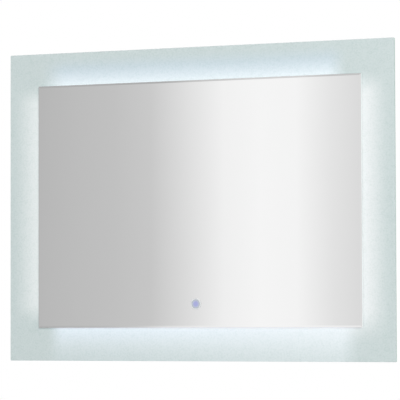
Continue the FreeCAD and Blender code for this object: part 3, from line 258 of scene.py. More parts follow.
@dataclass(frozen=True)
class CastZincAlloy(GrainedFinish):
    """Die-cast zinc alloy as it leaves the mould."""

    # The melt chills against the mould: dull grey metal with flow clouds and a grain of 0.6 mm.
    colour: str = "#A5A8AA"
    shade: str = "#8F9396"
    patch_mm: float | None = 6.0
    spread: float = 0.15
    pattern: Grain = Grain.CELLS
    grain_mm: float = 0.6
    metallic: float = 1.0


@dataclass(frozen=True)
class ZincPlate(GrainedFinish):
    """Steel screws with a bright, passivated zinc plate."""

    # The plate is smooth and the passivation a thin film: cool bright metal, straw in places.
    colour: str = "#C6CBD0"
    shade: str = "#CAC9C0"
    patch_mm: float | None = 1.6
    gloss: Gloss = Gloss.GLOSSY
    relief_mm: float = 0.01
    metallic: float = 1.0


@dataclass(frozen=True)
class AcrylicFoam(GrainedFinish):
    """White acrylic foam tape, slit from the roll."""

    # The knife opens the foam's cells of about 0.4 mm: a matt, faintly pitted white edge.
    colour: str = "#EFEFEC"
    shade: str = "#D9DAD6"
    patch_mm: float | None = None
    gloss: Gloss = Gloss.MATT
    spread: float = 0.1
    pattern: Grain = Grain.CELLS
    grain_mm: float = 0.4
    relief_mm: float = 0.06


@dataclass(frozen=True)
class BacklitFoam(AcrylicFoam):
    """The same foam tape between the two glasses."""

    # The strips' light comes through the etched glass and fills the pale foam, so that the slit
    # round the pane is bright where it would else be dark.
    glow: float = 0.5

    def dress(self, s: Surface) -> dict[str, object]:
        """Foam with a glow of its own."""
        return super().dress(s) | {
            "Emission Color": linear("#F4F8FF"), "Emission Strength": self.glow}


@dataclass(frozen=True)
class Elastomer(GrainedFinish):
    """Moulded black rubber."""

    # Wax blooms out of the rubber with time: a matt black that is greyer here and there.
    colour: str = "#1B1B1C"
    shade: str = "#2B2B2B"
    patch_mm: float | None = 4.0
    gloss: Gloss = Gloss.MATT
    spread: float = 0.15
    grain_mm: float = 0.4
    ior: float = 1.52


@dataclass(frozen=True)
class MouldedPlastic(GrainedFinish):
    """ABS or nylon from a spark-eroded mould."""

    # The mould's sparked steel prints a fine, even grain: a soft sheen without clear highlights.
    ior: float = 1.53


@dataclass(frozen=True)
class PolishedPolycarbonate(GrainedFinish):
    """Polycarbonate from a polished mould."""

    # The mould's mirror finish prints through: clear, tight highlights on a smooth pale ring.
    colour: str = "#E9EBEC"
    shade: str = "#E3E6E8"
    gloss: Gloss = Gloss.GLOSSY
    grain_mm: float = 0.8
    relief_mm: float = 0.005
    ior: float = 1.58


@dataclass(frozen=True)
class PvcSheathing(GrainedFinish):
    """White PVC, extruded round two cores."""

    # The sheath shrinks on to the twisted cores: a satin skin with slow waves about 6 mm long.
    colour: str = "#E9E9E5"
    shade: str = "#DCDCD7"
    patch_mm: float | None = None
    gloss: Gloss = Gloss.SATIN
    spread: float = 0.1
    grain_mm: float = 6.0
    relief_mm: float = 0.08


@dataclass(frozen=True)
class FloorPaint(GrainedFinish):
    """Matt floor paint, rolled on."""

    # The roller leaves a faint stipple of 5 mm: a plain pale floor that takes a soft shadow.
    # The camera sees it a little lighter, so that it fades into the white background.
    colour: str = "#F3F3F2"
    shade: str = "#F1F1F0"
    gloss: Gloss = Gloss.MATT
    grain_mm: float = 5.0
    fade: float = 0.2

    def dress(self, s: Surface) -> dict[str, object]:
        """Paint, with light of its own for the camera alone.

        Args:
            s: The floor.

        Returns:
            What goes into the shader's inputs.
        """
        seen = s.add("LightPath").node.outputs["Is Camera Ray"]
        return super().dress(s) | {
            "Emission Color": linear("#FFFFFF"),
            "Emission Strength": s.add("Math", {0: seen, 1: self.fade}, operation="MULTIPLY"),
        }


@dataclass(frozen=True)
class GlowBand:
    """Light of one strip, as it shines through the etched glass beside the pane."""

    across: Axis
    edge: float
    outward: int
    first: float
    last: float
    level: float
    reach_mm: float
    lamp: str
    start_mm: float
    end_mm: float
    halo: float = 0.0
    halo_mm: float = 4.5
    inward_mm: float = 60.0

    def light(self, s: Surface) -> bpy.types.NodeSocket:
        """Brightest at the pane's edge, gone at its reach, with soft ends.

        Args:
            s: The glass.

        Returns:
            Colour of the light.
        """
        along = s.run(Axis.X if self.across is Axis.Z else Axis.Z)
        past = s.add("Math", {0: s.run(self.across), 1: self.edge}, operation="SUBTRACT")
        out = s.add("Math", {0: past, 1: self.outward}, operation="MULTIPLY")
        spill = s.add("MapRange", {0: out, 2: self.reach_mm * MM, 3: self.level, 4: 0.0}, **SMOOTH)
        inner = s.add("MapRange", {0: out, 1: -self.inward_mm * MM, 2: 0.0}, **SMOOTH)
        wide = s.add("Math", {0: spill, 1: inner}, operation="MULTIPLY")
        away = s.add("Math", {0: out}, operation="ABSOLUTE")
        steps = s.add("Math", {0: away, 1: -self.halo_mm * MM}, operation="DIVIDE")
        fall = s.add("Math", {0: steps}, operation="EXPONENT")
        near = s.add("Math", {0: fall, 1: self.halo, 2: wide}, operation="MULTIPLY_ADD")
        start = s.add("MapRange", {0: along, 1: self.first,
                                   2: self.first + self.start_mm * MM}, **SMOOTH)
        end = s.add("MapRange", {0: along, 1: self.last - self.end_mm * MM, 2: self.last,
                                 3: 1.0, 4: 0.0}, **SMOOTH)
        ends = s.add("Math", {0: start, 1: end}, operation="MULTIPLY")
        level = s.add("Math", {0: near, 1: ends}, operation="MULTIPLY")
        return s.add("VectorMath", {0: linear(self.lamp)[:3], "Scale": level}, operation="SCALE")


@dataclass(frozen=True)
class AcidEtchedGlass(Finish):
    """Float glass, etched with acid on its face, over a painted pane in its middle."""

    pane_middle: Vector
    pane_half: Vector
    glow: tuple[GlowBand, ...]
    face: str = "#CEDADA"
    bitten: str = "#C3D2D1"
    edge: str = "#B4CBC3"
    pane_paint_and_shade: str = "#A3AEB0"
    pane_paint_and_shade_share: float = 0.6
    pane_paint_and_shade_fade_mm: tuple[float, float] = (1.0, 9.0)
    pit_mm: float = 3.0
    cloud_mm: float = 12.0
    fine_mm: float = 0.8
    back_roughness: float = 0.16

    def dress(self, s: Surface) -> dict[str, object]:
        """Milky face with painted shade behind the pane, smooth back, green edges and the strips'
        light inside the glass.

        Args:
            s: The glass.

        Returns:
            What goes into the shader's inputs.
        """
        # The acid leaves pits of about 0.1 mm, which scatter all light: the eye sees a milky,
        # pale green-grey skin. The pits are too fine to show, so they are drawn at 3 mm, with
        # clouds of 12 mm where the acid bit unevenly.
        pits = s.add("TexNoise", {"Vector": s.place, "Scale": per_metre(self.pit_mm),
                                  "Detail": 3.0})
        clouds = s.add("TexNoise", {"Vector": s.place, "Scale": per_metre(self.cloud_mm),
                                    "Detail": 2.0})
        speck = s.add("MapRange", {0: pits, 1: 0.35, 2: 0.7}, **SMOOTH)
        uneven = s.add("MapRange", {0: clouds, 1: 0.25, 2: 0.75, 3: 0.35}, **SMOOTH)
        mottle = s.add("Math", {0: speck, 1: uneven}, operation="MULTIPLY")
        milky = s.add("Mix", {0: mottle, 6: linear(self.face), 7: linear(self.bitten)}, 2,
                      data_type="RGBA")
        # From the back, the glass is painted darker grey where the pane lies on it: painted shade
        # from the pane, tinted by the grey paint of the pane that shows dimly through the glass.
        insets = []
        for axis in (Axis.X, Axis.Z):
            off = s.add("Math", {0: s.run(axis), 1: self.pane_middle[axis.value]},
                        operation="SUBTRACT")
            away = s.add("Math", {0: off}, operation="ABSOLUTE")
            insets.append(s.add("Math", {0: self.pane_half[axis.value], 1: away},
                                operation="SUBTRACT"))
        inset = s.add("Math", {0: insets[0], 1: insets[1]}, operation="MINIMUM")
        outer, inner = (fade * MM for fade in self.pane_paint_and_shade_fade_mm)
        shaded = s.add("MapRange", {0: inset, 1: outer, 2: inner, 4: self.pane_paint_and_shade_share},
                       **SMOOTH)
        skin = s.add("Mix", {0: shaded, 6: milky, 7: linear(self.pane_paint_and_shade)}, 2,
                     data_type="RGBA")
        # Looking into the ground edge, the eye sees through a long way of glass: it turns green.
        sideways = s.add("Math", {0: s.facing_y}, operation="ABSOLUTE")
        flat = s.add("MapRange", {0: sideways, 1: 0.3, 2: 0.6}, **SMOOTH)
        colour = s.add("Mix", {0: flat, 6: linear(self.edge), 7: skin}, 2, data_type="RGBA")
        # The back was never etched: it keeps the gloss of float glass.
        rough = s.add("MapRange", {0: pits, 1: 0.25, 2: 0.75, 3: 0.49, 4: 0.61})
        back = s.add("MapRange", {0: s.facing_y, 1: 0.6, 2: 0.8}, **SMOOTH)
        smooth = s.add("Mix", {0: back, 2: rough, 3: self.back_roughness})
        fine = s.add("TexNoise", {"Vector": s.place, "Scale": per_metre(self.fine_mm),
                                  "Detail": 2.0})
        rise = s.add("Mix", {0: back, 2: fine, 3: 0.5})
        total = self.glow[0].light(s)
        for band in self.glow[1:]:
            total = s.add("VectorMath", {0: total, 1: band.light(s)})
        return {
            "Base Color": colour,
            "Roughness": smooth,
            "IOR": 1.52,
            "Coat Weight": 0.15,
            "Coat Roughness": 0.4,
            "Normal": s.add("Bump", {"Height": rise, "Distance": 0.03 * MM, "Strength": 0.5}),
            "Emission Color": total,
            "Emission Strength": 1.0,
        }


@dataclass(frozen=True)
class SilveredGlass(Finish):
    """Float glass silvered and painted on its back, with a polished bevel."""

    silver: str = "#F5F5F5"
    haze: str = "#EAEAEA"
    side: str = "#DDEBE6"
    paint: str = "#8C9496"
    cloud_mm: float = 40.0
    side_glow: float = 0.33

    def dress(self, s: Surface) -> dict[str, object]:
        """Silver seen through the face and the bevel, bright sides, grey paint on the back.

        Args:
            s: The glass.

        Returns:
            What goes into the shader's inputs.
        """
        # Wet silvering on fire-polished glass is a clear mirror. Its coat wanders by well under
        # a per cent, in clouds of 40 mm.
        clouds = s.add("TexNoise", {"Vector": s.place, "Scale": per_metre(self.cloud_mm),
                                    "Detail": 2.0})
        wander = s.add("MapRange", {0: clouds, 1: 0.3, 2: 0.7, 4: 0.03}, **SMOOTH)
        silver = s.add("Mix", {0: wander, 6: linear(self.silver), 7: linear(self.haze)}, 2,
                       data_type="RGBA")
        front = s.add("MapRange", {0: s.facing_y, 1: -0.75, 2: -0.6, 3: 1.0, 4: 0.0}, **SMOOTH)
        back = s.add("MapRange", {0: s.facing_y, 1: 0.6, 2: 0.75}, **SMOOTH)
        rest = s.add("Mix", {0: back, 6: linear(self.side), 7: linear(self.paint)}, 2,
                     data_type="RGBA")
        # The strips behind shine along inside the glass and out at its sides.
        covered = s.add("Math", {0: front, 1: back}, operation="MAXIMUM")
        return {
            "Base Color": s.add("Mix", {0: front, 6: rest, 7: silver}, 2, data_type="RGBA"),
            "Metallic": front,
            "Roughness": s.add("MapRange", {0: front, 3: 0.25, 4: 0.004}),
            "Emission Color": linear("#F4F8FF"),
            "Emission Strength": s.add("MapRange", {0: covered, 3: self.side_glow, 4: 0.0}),
        }


@dataclass(frozen=True)
class StripCircuit(Finish):
    """Flexible copper circuit under white solder mask."""

    along: Axis
    start: float
    pitch: float
    middle_y: float
    pad_near_mm: float = 1.6
    pad_far_mm: float = 4.2
    pad_half_mm: float = 1.6
    cut_half_mm: float = 0.12
    resistor_at: float = 1 / 3
    resistor_half_mm: tuple[float, float] = (1.6, 0.8)
    skin_mm: float = 1.2

    def dress(self, s: Surface) -> dict[str, object]:
        """White mask, copper pads beside every cutting mark, one resistor to a segment.

        Args:
            s: The strip.

        Returns:
            What goes into the shader's inputs.
        """
        shifted = s.add("Math", {0: s.run(self.along), 1: self.start}, operation="SUBTRACT")
        turns = s.add("Math", {0: shifted, 1: self.pitch}, operation="DIVIDE")
        phase = s.add("Math", {0: turns}, operation="FRACT")
        # Distance to the nearest cutting mark, and to the strip's middle line.
        mark = s.add("Math", {0: shifted, 1: self.pitch / 2}, operation="PINGPONG")
        off = s.add("Math", {0: s.y, 1: self.middle_y}, operation="SUBTRACT")
        beside = s.add("Math", {0: off}, operation="ABSOLUTE")
        # The mask is left open round the pads, so bare copper shows there.
        outer = s.add("Math", {0: beside, 1: self.pad_near_mm * MM}, operation="GREATER_THAN")
        inner = s.add("Math", {0: beside, 1: self.pad_far_mm * MM}, operation="LESS_THAN")
        close = s.add("Math", {0: mark, 1: self.pad_half_mm * MM}, operation="LESS_THAN")
        row = s.add("Math", {0: outer, 1: inner}, operation="MULTIPLY")
        pad = s.add("Math", {0: row, 1: close}, operation="MULTIPLY")
        cut = s.add("Math", {0: mark, 1: self.cut_half_mm * MM}, operation="LESS_THAN")
        # One small black resistor lies a third of the way along each segment.
        half_length, half_width = (half * MM for half in self.resistor_half_mm)
        there = s.add("Math", {0: phase, 1: self.resistor_at, 2: half_length / self.pitch},
                      operation="COMPARE")
        central = s.add("Math", {0: beside, 1: half_width}, operation="LESS_THAN")
        resistor = s.add("Math", {0: there, 1: central}, operation="MULTIPLY")
        # Solder mask is a thin printed skin: a satin white, slightly uneven over 1.2 mm.
        skin = s.add("TexNoise", {"Vector": s.place, "Scale": per_metre(self.skin_mm),
                                  "Detail": 2.0})
        mask = s.add("Mix", {0: skin, 6: linear("#F6F7F3"), 7: linear("#E6E8E4")}, 2,
                     data_type="RGBA")
        copper = s.add("Mix", {0: pad, 6: mask, 7: linear("#C98F55")}, 2, data_type="RGBA")
        lined = s.add("Mix", {0: cut, 6: copper, 7: linear("#5C5F60")}, 2, data_type="RGBA")
        return {
            "Base Color": s.add("Mix", {0: resistor, 6: lined, 7: linear("#1D1E20")}, 2,
                                data_type="RGBA"),
            "Metallic": s.add("Math", {0: pad, 1: 0.9}, operation="MULTIPLY"),
            "Roughness": s.add("MapRange", {0: skin, 1: 0.25, 2: 0.75, 3: 0.33, 4: 0.43}),
        }


@dataclass(frozen=True)
class LitChip(Finish):
    """White light-emitting chip, switched on: phosphor gel in a moulded white housing."""

    cell_mm: float = 2.0
    glow: tuple[float, float] = (2.4, 1.5)

    def dress(self, s: Surface) -> dict[str, object]:
        """Shine all over, strongest where the gel lies.

        Args:
            s: The chips.

        Returns:
            What goes into the shader's inputs.
        """
        # The gel is yellow when off. Lit, it drowns in its own cool white, and only a breath of
        # yellow is left between the cells of 2 mm.
        cells = s.add("TexVoronoi", {"Vector": s.place, "Scale": per_metre(self.cell_mm)})
        gel = s.add("MapRange", {0: cells, 1: 0.1, 2: 0.5}, **SMOOTH)
        return {
            "Base Color": s.add("Mix", {0: gel, 6: linear("#F4E9A8"), 7: linear("#F7F7F2")}, 2,
                                data_type="RGBA"),
            "Roughness": s.add("MapRange", {0: gel, 3: 0.17, 4: 0.27}),
            "Emission Color": linear("#E4EEFF"),
            "Emission Strength": s.add("MapRange", {0: gel, 3: self.glow[0], 4: self.glow[1]}),
        }


@dataclass(frozen=True)
class LitLens(Finish):
    """Translucent polycarbonate, moulded, over a small lamp."""

    middle: Vector
    radius: float
    grain_mm: float = 0.6
    glow: float = 0.14

    def dress(self, s: Surface) -> dict[str, object]:
        """Light that fades from the middle out to a ring near the rim.

        Args:
            s: The lens.

        Returns:
            What goes into the shader's inputs.
        """
        # The milky plastic spreads the lamp behind it: a periwinkle middle that fades into
        # grey-blue, under a smooth skin with a grain of 0.6 mm.
        across = s.add("Math", {0: s.x, 1: self.middle.x}, operation="SUBTRACT")
        up = s.add("Math", {0: s.z, 1: self.middle.z}, operation="SUBTRACT")
        offset = s.add("CombineXYZ", {0: across, 2: up})
        length = s.add("VectorMath", {0: offset}, 1, operation="LENGTH")
        out = s.add("Math", {0: length, 1: self.radius}, operation="DIVIDE")
        lit = s.add("MapRange", {0: out, 1: 0.35, 2: 0.92, 3: 1.0, 4: 0.0}, **SMOOTH)
        rising = s.add("MapRange", {0: out, 1: 0.74, 2: 0.86}, **SMOOTH)
        falling = s.add("MapRange", {0: out, 1: 0.9, 2: 0.99, 3: 1.0, 4: 0.0}, **SMOOTH)
        ring = s.add("Math", {0: rising, 1: falling}, operation="MULTIPLY")
        rim = s.add("Mix", {0: ring, 6: linear("#C4CCD7"), 7: linear("#BAC1C8")}, 2,
                    data_type="RGBA")
        grain = s.add("TexNoise", {"Vector": s.place, "Scale": per_metre(self.grain_mm),
                                   "Detail": 2.0})
        return {
            "Base Color": s.add("Mix", {0: lit, 6: rim, 7: linear("#9EA3CA")}, 2,
                                data_type="RGBA"),
            "Roughness": s.add("MapRange", {0: grain, 1: 0.25, 2: 0.75, 3: 0.18, 4: 0.26}),
            "IOR": 1.58,
            "Coat Weight": 0.5,
            "Coat Roughness": 0.12,
            "Emission Color": linear("#9FA2FF"),
            "Emission Strength": s.add("Math", {0: lit, 1: self.glow}, operation="MULTIPLY"),
        }


@dataclass(frozen=True)
class SolderMask(Finish):
    """Glass-fibre board under green solder mask."""

    track_mm: float = 3.0
    skin_mm: float = 0.8

    def dress(self, s: Surface) -> dict[str, object]:
        """Green mask over square-cornered tracks.

        Args:
            s: The board.

        Returns:
            What goes into the shader's inputs.
        """
        # The printed mask is clear green: over copper tracks about 3 mm apart the eye sees a
        # lighter green, standing a little proud.
        tracks = s.add("TexVoronoi", {"Vector": s.place, "Scale": per_metre(self.track_mm)},
                       distance="CHEBYCHEV")
        share = s.add("MapRange", {0: tracks, 1: 0.42, 2: 0.5}, **SMOOTH)
        skin = s.add("TexNoise", {"Vector": s.place, "Scale": per_metre(self.skin_mm),
                                  "Detail": 2.0})
        return {
            "Base Color": s.add("Mix", {0: share, 6: linear("#0F5B33"), 7: linear("#2C8452")}, 2,
                                data_type="RGBA"),
            "Roughness": s.add("MapRange", {0: skin, 1: 0.25, 2: 0.75, 3: 0.17, 4: 0.27}),
            "Normal": s.add("Bump", {"Height": tracks, "Distance": 0.03 * MM, "Strength": 0.4}),
        }


@dataclass(frozen=True)
class FerriteCore(Finish):
    """Pressed and sintered ferrite, with insulating tape round its waist."""

    low: float
    high: float
    grain_mm: float = 0.5

    def dress(self, s: Surface) -> dict[str, object]:
        """Charcoal ceramic, with yellow tape between two heights.

        Args:
            s: The core.

        Returns:
            What goes into the shader's inputs.
        """
        # Sintering leaves a dark, slightly sandy ceramic with a grain of 0.5 mm. The wound coil
        # is hidden by polyester tape, a flat yellow band.
        above = s.add("Math", {0: s.z, 1: self.low}, operation="GREATER_THAN")
        below = s.add("Math", {0: s.z, 1: self.high}, operation="LESS_THAN")
        band = s.add("Math", {0: above, 1: below}, operation="MULTIPLY")
        sand = s.add("TexVoronoi", {"Vector": s.place, "Scale": per_metre(self.grain_mm)})
        core = s.add("Mix", {0: sand, 6: linear("#2A2B2E"), 7: linear("#3D3E41")}, 2,
                     data_type="RGBA")
        return {
            "Base Color": s.add("Mix", {0: band, 6: core, 7: linear("#E0B93A")}, 2,
                                data_type="RGBA"),
            "Roughness": s.add("MapRange", {0: sand, 3: 0.47, 4: 0.63}),
            "Normal": s.add("Bump", {"Height": sand, "Distance": 0.03 * MM, "Strength": 0.4}),
        }


@dataclass(frozen=True)
class ShrinkSleeve(Finish):
    """Drawn aluminium can in a shrunk plastic sleeve."""

    sleeve: str = "#20263A"
    ripple_mm: float = 1.2

    def dress(self, s: Surface) -> dict[str, object]:
        """Metal where the surface faces along the can, sleeve elsewhere.

        Args:
            s: The can.

        Returns:
            What goes into the shader's inputs.
        """
        # The sleeve shrinks tight and glossy, with ripples of 1.2 mm, and leaves the can's
        # bright end bare.
        along = s.add("Math", {0: s.facing_y}, operation="ABSOLUTE")
        end = s.add("MapRange", {0: along, 1: 0.6, 2: 0.8}, **SMOOTH)
        ripple = s.add("TexNoise", {"Vector": s.place, "Scale": per_metre(self.ripple_mm),
                                    "Detail": 1.0})
        return {
            "Base Color": s.add("Mix", {0: end, 6: linear(self.sleeve), 7: linear("#C7CACC")}, 2,
                                data_type="RGBA"),
            "Metallic": end,
            "Roughness": s.add("MapRange", {0: ripple, 1: 0.25, 2: 0.75, 3: 0.17, 4: 0.27}),
            "Normal": s.add("Bump", {"Height": ripple, "Distance": 0.03 * MM, "Strength": 0.4}),
        }


# Finishes that are used more than once.
ACRYLIC_FOAM = AcrylicFoam("acrylic_foam")
BLACK_RUBBER = Elastomer("black_rubber")
GREEN_BOARD = SolderMask("green_solder_mask")
PVC_SHEATHING = PvcSheathing("pvc_sheathing")
WHITE_NYLON = MouldedPlastic("white_nylon", "#E6E6E2", "#E0E0DC")
ZINC_PLATE = ZincPlate("zinc_plate")

# Which way each side of the frame runs, with its light strip.
SIDES = {"top": Axis.X, "bottom": Axis.X, "left": Axis.Z, "right": Axis.Z}


@dataclass
class SubAssembly:
    """A group of CAD nodes that belong together."""

    nodes: dict[str, bpy.types.Object]
    dressed: dict[str, str] = field(default_factory=dict)

    def finish(self, name: str, finish: Finish) -> None:
        """Give a node its finish.

        Args:
            name: The node.
            finish: Its finish.
        """
        node = self.nodes[name]
        node.data.materials.clear()
        node.data.materials.append(finish.material())
        self.dressed[name] = finish.name

    def build(self) -> None:
        """Dress every node of the group."""
        raise NotImplementedError


@dataclass
class Glasses(SubAssembly):
    """The etched panel, the silvered pane on it and the tape between them."""

    level_spill_mm: float = 12.0
    foot_spill_mm: float = 40.0
    head_spill_mm: float = 34.0

    def glow(self) -> tuple[GlowBand, ...]:
        """Light of the four strips beside the pane.

        Returns:
            The bands: two above, four below, one at each side.
        """
        low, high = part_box("mirror_pane")
        first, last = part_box("light_chips_top")
        under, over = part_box("light_chips_left")
        level, foot, head = (spill * MM for spill in (
            self.level_spill_mm, self.foot_spill_mm, self.head_spill_mm))
        top = (Axis.Z, high.z, 1, low.x, last.x + level / 2)
        bottom = (Axis.Z, low.z, -1, first.x - level)
        near, far = last.x + foot + level, last.x + foot - level
        left = (Axis.X, low.x, -1, under.z - foot, over.z + head)
        right = (Axis.X, high.x, 1, under.z - foot - 3 * level, over.z + head)
        return (
            GlowBand(*top, level=0.19, reach_mm=38.0, lamp="#FFE9BE", halo=0.10, start_mm=60.0,
                     end_mm=45.0),
            GlowBand(*top, level=0.16, reach_mm=62.0, lamp="#2893FF", start_mm=60.0,
                     end_mm=45.0),
            GlowBand(*bottom, near, level=0.12, reach_mm=65.0, lamp="#F8EAFA", halo=0.22,
                     halo_mm=2.4, start_mm=40.0, end_mm=75.0),
            GlowBand(*bottom, near, level=0.07, reach_mm=45.0, lamp="#9CC8FF", start_mm=40.0,
                     end_mm=600.0),
            GlowBand(*bottom, far, level=0.07, reach_mm=150.0, lamp="#D8E4FF", start_mm=40.0,
                     end_mm=45.0),
            GlowBand(*bottom, far, level=0.09, reach_mm=200.0, lamp="#FFF3F6", start_mm=600.0,
                     end_mm=45.0),
            GlowBand(*left, level=0.20, reach_mm=62.0, lamp="#FFEDEE", start_mm=50.0,
                     end_mm=50.0),
            GlowBand(*right, level=0.25, reach_mm=58.0, lamp="#FFE8EC", start_mm=75.0,
                     end_mm=50.0),
        )

    def build(self) -> None:
        """Dress both glasses and the bonding tape."""
        low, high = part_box("mirror_pane")
        self.finish("frosted_glass_panel", AcidEtchedGlass(
            "acid_etched_glass", (low + high) / 2, (high - low) / 2, self.glow()))
        self.finish("mirror_pane", SilveredGlass("silvered_glass"))
        self.finish("pane_tape", BacklitFoam("backlit_acrylic_foam"))


@dataclass
class RearFrame(SubAssembly):
    """The mitred profile frame with its keys, screws, tape and buffers."""

    def build(self) -> None:
        """Dress the frame's pieces."""
        for side, along in SIDES.items():
            name = "anodised_aluminium_along_" + along.name.lower()
            self.finish("frame_" + side, AnodisedAluminium(name, along=along))
        self.finish("corner_keys", CastZincAlloy("cast_zinc_alloy"))
        self.finish("corner_key_screws", ZINC_PLATE)
        self.finish("frame_tape", ACRYLIC_FOAM)
        self.finish("wall_buffers", BLACK_RUBBER)


@dataclass
class WallHanging(SubAssembly):
    """The wall rail and the crossbar that hooks over it."""

    def build(self) -> None:
        """Dress the rail, the crossbar and its screws."""
        for name in ("wall_rail", "hanging_crossbar"):
            self.finish(name, PowderCoat("powder_coated_steel"))
        self.finish("crossbar_screws", ZINC_PLATE)


@dataclass
class LightStrips(SubAssembly):
    """Four light strips with their chips and the jumpers round three corners."""

    chip_pitch_mm: float = 13.9
    chips_per_segment: int = 3

    def build(self) -> None:
        """Dress strips, chips and jumpers."""
        pitch = self.chip_pitch_mm * self.chips_per_segment * MM
        for side, along in SIDES.items():
            low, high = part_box("light_strip_" + side)
            name = "strip_circuit_along_" + along.name.lower()
            self.finish("light_strip_" + side, StripCircuit(
                name, along, low[along.value], pitch, (low.y + high.y) / 2))
            self.finish("light_chips_" + side, LitChip("lit_chip"))
        for corner in ("top_left", "top_right", "bottom_left"):
            self.finish("jumper_" + corner, PVC_SHEATHING)


@dataclass
class TouchSwitch(SubAssembly):
    """The touch switch that is clamped through both glasses."""

    def build(self) -> None:
        """Dress bezel, lens, board, cap, gasket and nut."""
        low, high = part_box("touch_switch_lens")
        self.finish("touch_switch_lens", LitLens(
            "lit_polycarbonate", (low + high) / 2, (high.x - low.x) / 2))
        self.finish("touch_switch_bezel", PolishedPolycarbonate("polished_polycarbonate"))
        self.finish("touch_switch_board", GREEN_BOARD)
        for name in ("touch_switch_cap", "touch_switch_nut"):
            self.finish(name, WHITE_NYLON)
        self.finish("touch_switch_gasket", BLACK_RUBBER)


@dataclass
class Driver(SubAssembly):
    """The driver: case, lid, board with its parts, screws, tape and mains gland."""

    def build(self) -> None:
        """Dress the driver's pieces."""
        for name in ("driver_case", "driver_lid"):
            self.finish(name, MouldedPlastic("white_abs"))
        self.finish("driver_board", GREEN_BOARD)
        for name in ("driver_lid_screws", "driver_board_screws"):
            self.finish(name, ZINC_PLATE)
        self.finish("driver_tape", ACRYLIC_FOAM)
        for name in ("transformer", "filter_choke"):
            low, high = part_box(name)
            third = (high.z - low.z) / 3
            self.finish(name, FerriteCore("ferrite_" + name, low.z + third, high.z - third))
        for name in ("mains_terminal", "output_terminal"):
            self.finish(name, MouldedPlastic("green_polyamide", "#2E7A4B", "#27693F"))
        for name in ("mains_capacitor", "output_capacitor", "smoothing_capacitor"):
            self.finish(name, ShrinkSleeve("shrink_sleeve"))
        self.finish("heat_sink", AnodisedAluminium("heat_sink_aluminium", along=Axis.Z))
        for name in ("mains_gland_body", "mains_gland_dome_nut", "mains_gland_locknut"):
            self.finish(name, MouldedPlastic("grey_nylon", "#9B9DA0", "#8F9194",
                                             gloss=Gloss.SATIN))


@dataclass
class LowVoltageLeads(SubAssembly):
    """The leads from driver to switch and from switch to strips, with grommets and clips."""

    def build(self) -> None:
        """Dress leads, grommets and clips."""
        for name in ("supply_lead", "feed_lead"):
            self.finish(name, PVC_SHEATHING)
        for name in ("output_grommet", "feed_grommet"):
            self.finish(name, BLACK_RUBBER)
        self.finish("cable_clips", WHITE_NYLON)


@dataclass(frozen=True)
class RoomBelt:
    """One height of the room: brightness at each turn in degrees, 0 straight ahead."""

    stops: tuple[tuple[float, float], ...]

    def light(self, s: Surface, turn: bpy.types.NodeSocket) -> bpy.types.NodeSocket:
        """Fade from stop to stop.

        Args:
            s: The room.
            turn: Direction in degrees from -180 to 180.

        Returns:
            Brightness.
        """
        share = s.add("MapRange", {0: turn, 1: -180.0, 2: 180.0})
        shade = s.add("ValToRGB", {0: share})
        ramp = shade.node.color_ramp
        ramp.interpolation = "EASE"
        ramp.elements.remove(ramp.elements[1])
        for number, (angle, level) in enumerate(self.stops):
            where = (angle + 180) / 360
            stop = ramp.elements[0] if number == 0 else ramp.elements.new(where)
            stop.position = where
            stop.color = (level, level, level, 1)
        return shade


@dataclass(frozen=True)
class SoftLamp:
    """A square soft lamp: its place, its side in metres and its power in watts."""

    name: str
    place: tuple[float, float, float]
    size: float
    power: float

    def hang(self, aim: Vector) -> None:
        """Hang the lamp, out of sight of mirror and gloss.

        Args:
            aim: The point that it faces.
        """
        data = bpy.data.lights.new(self.name, "AREA")
        data.size = self.size
        data.energy = self.power
        lamp = bpy.data.objects.new(self.name, data)
        lamp.location = self.place
        toward = aim - Vector(self.place)
        lamp.rotation_euler = toward.to_track_quat("-Z", "Y").to_euler()
        lamp.visible_glossy = False
        bpy.context.scene.collection.objects.link(lamp)


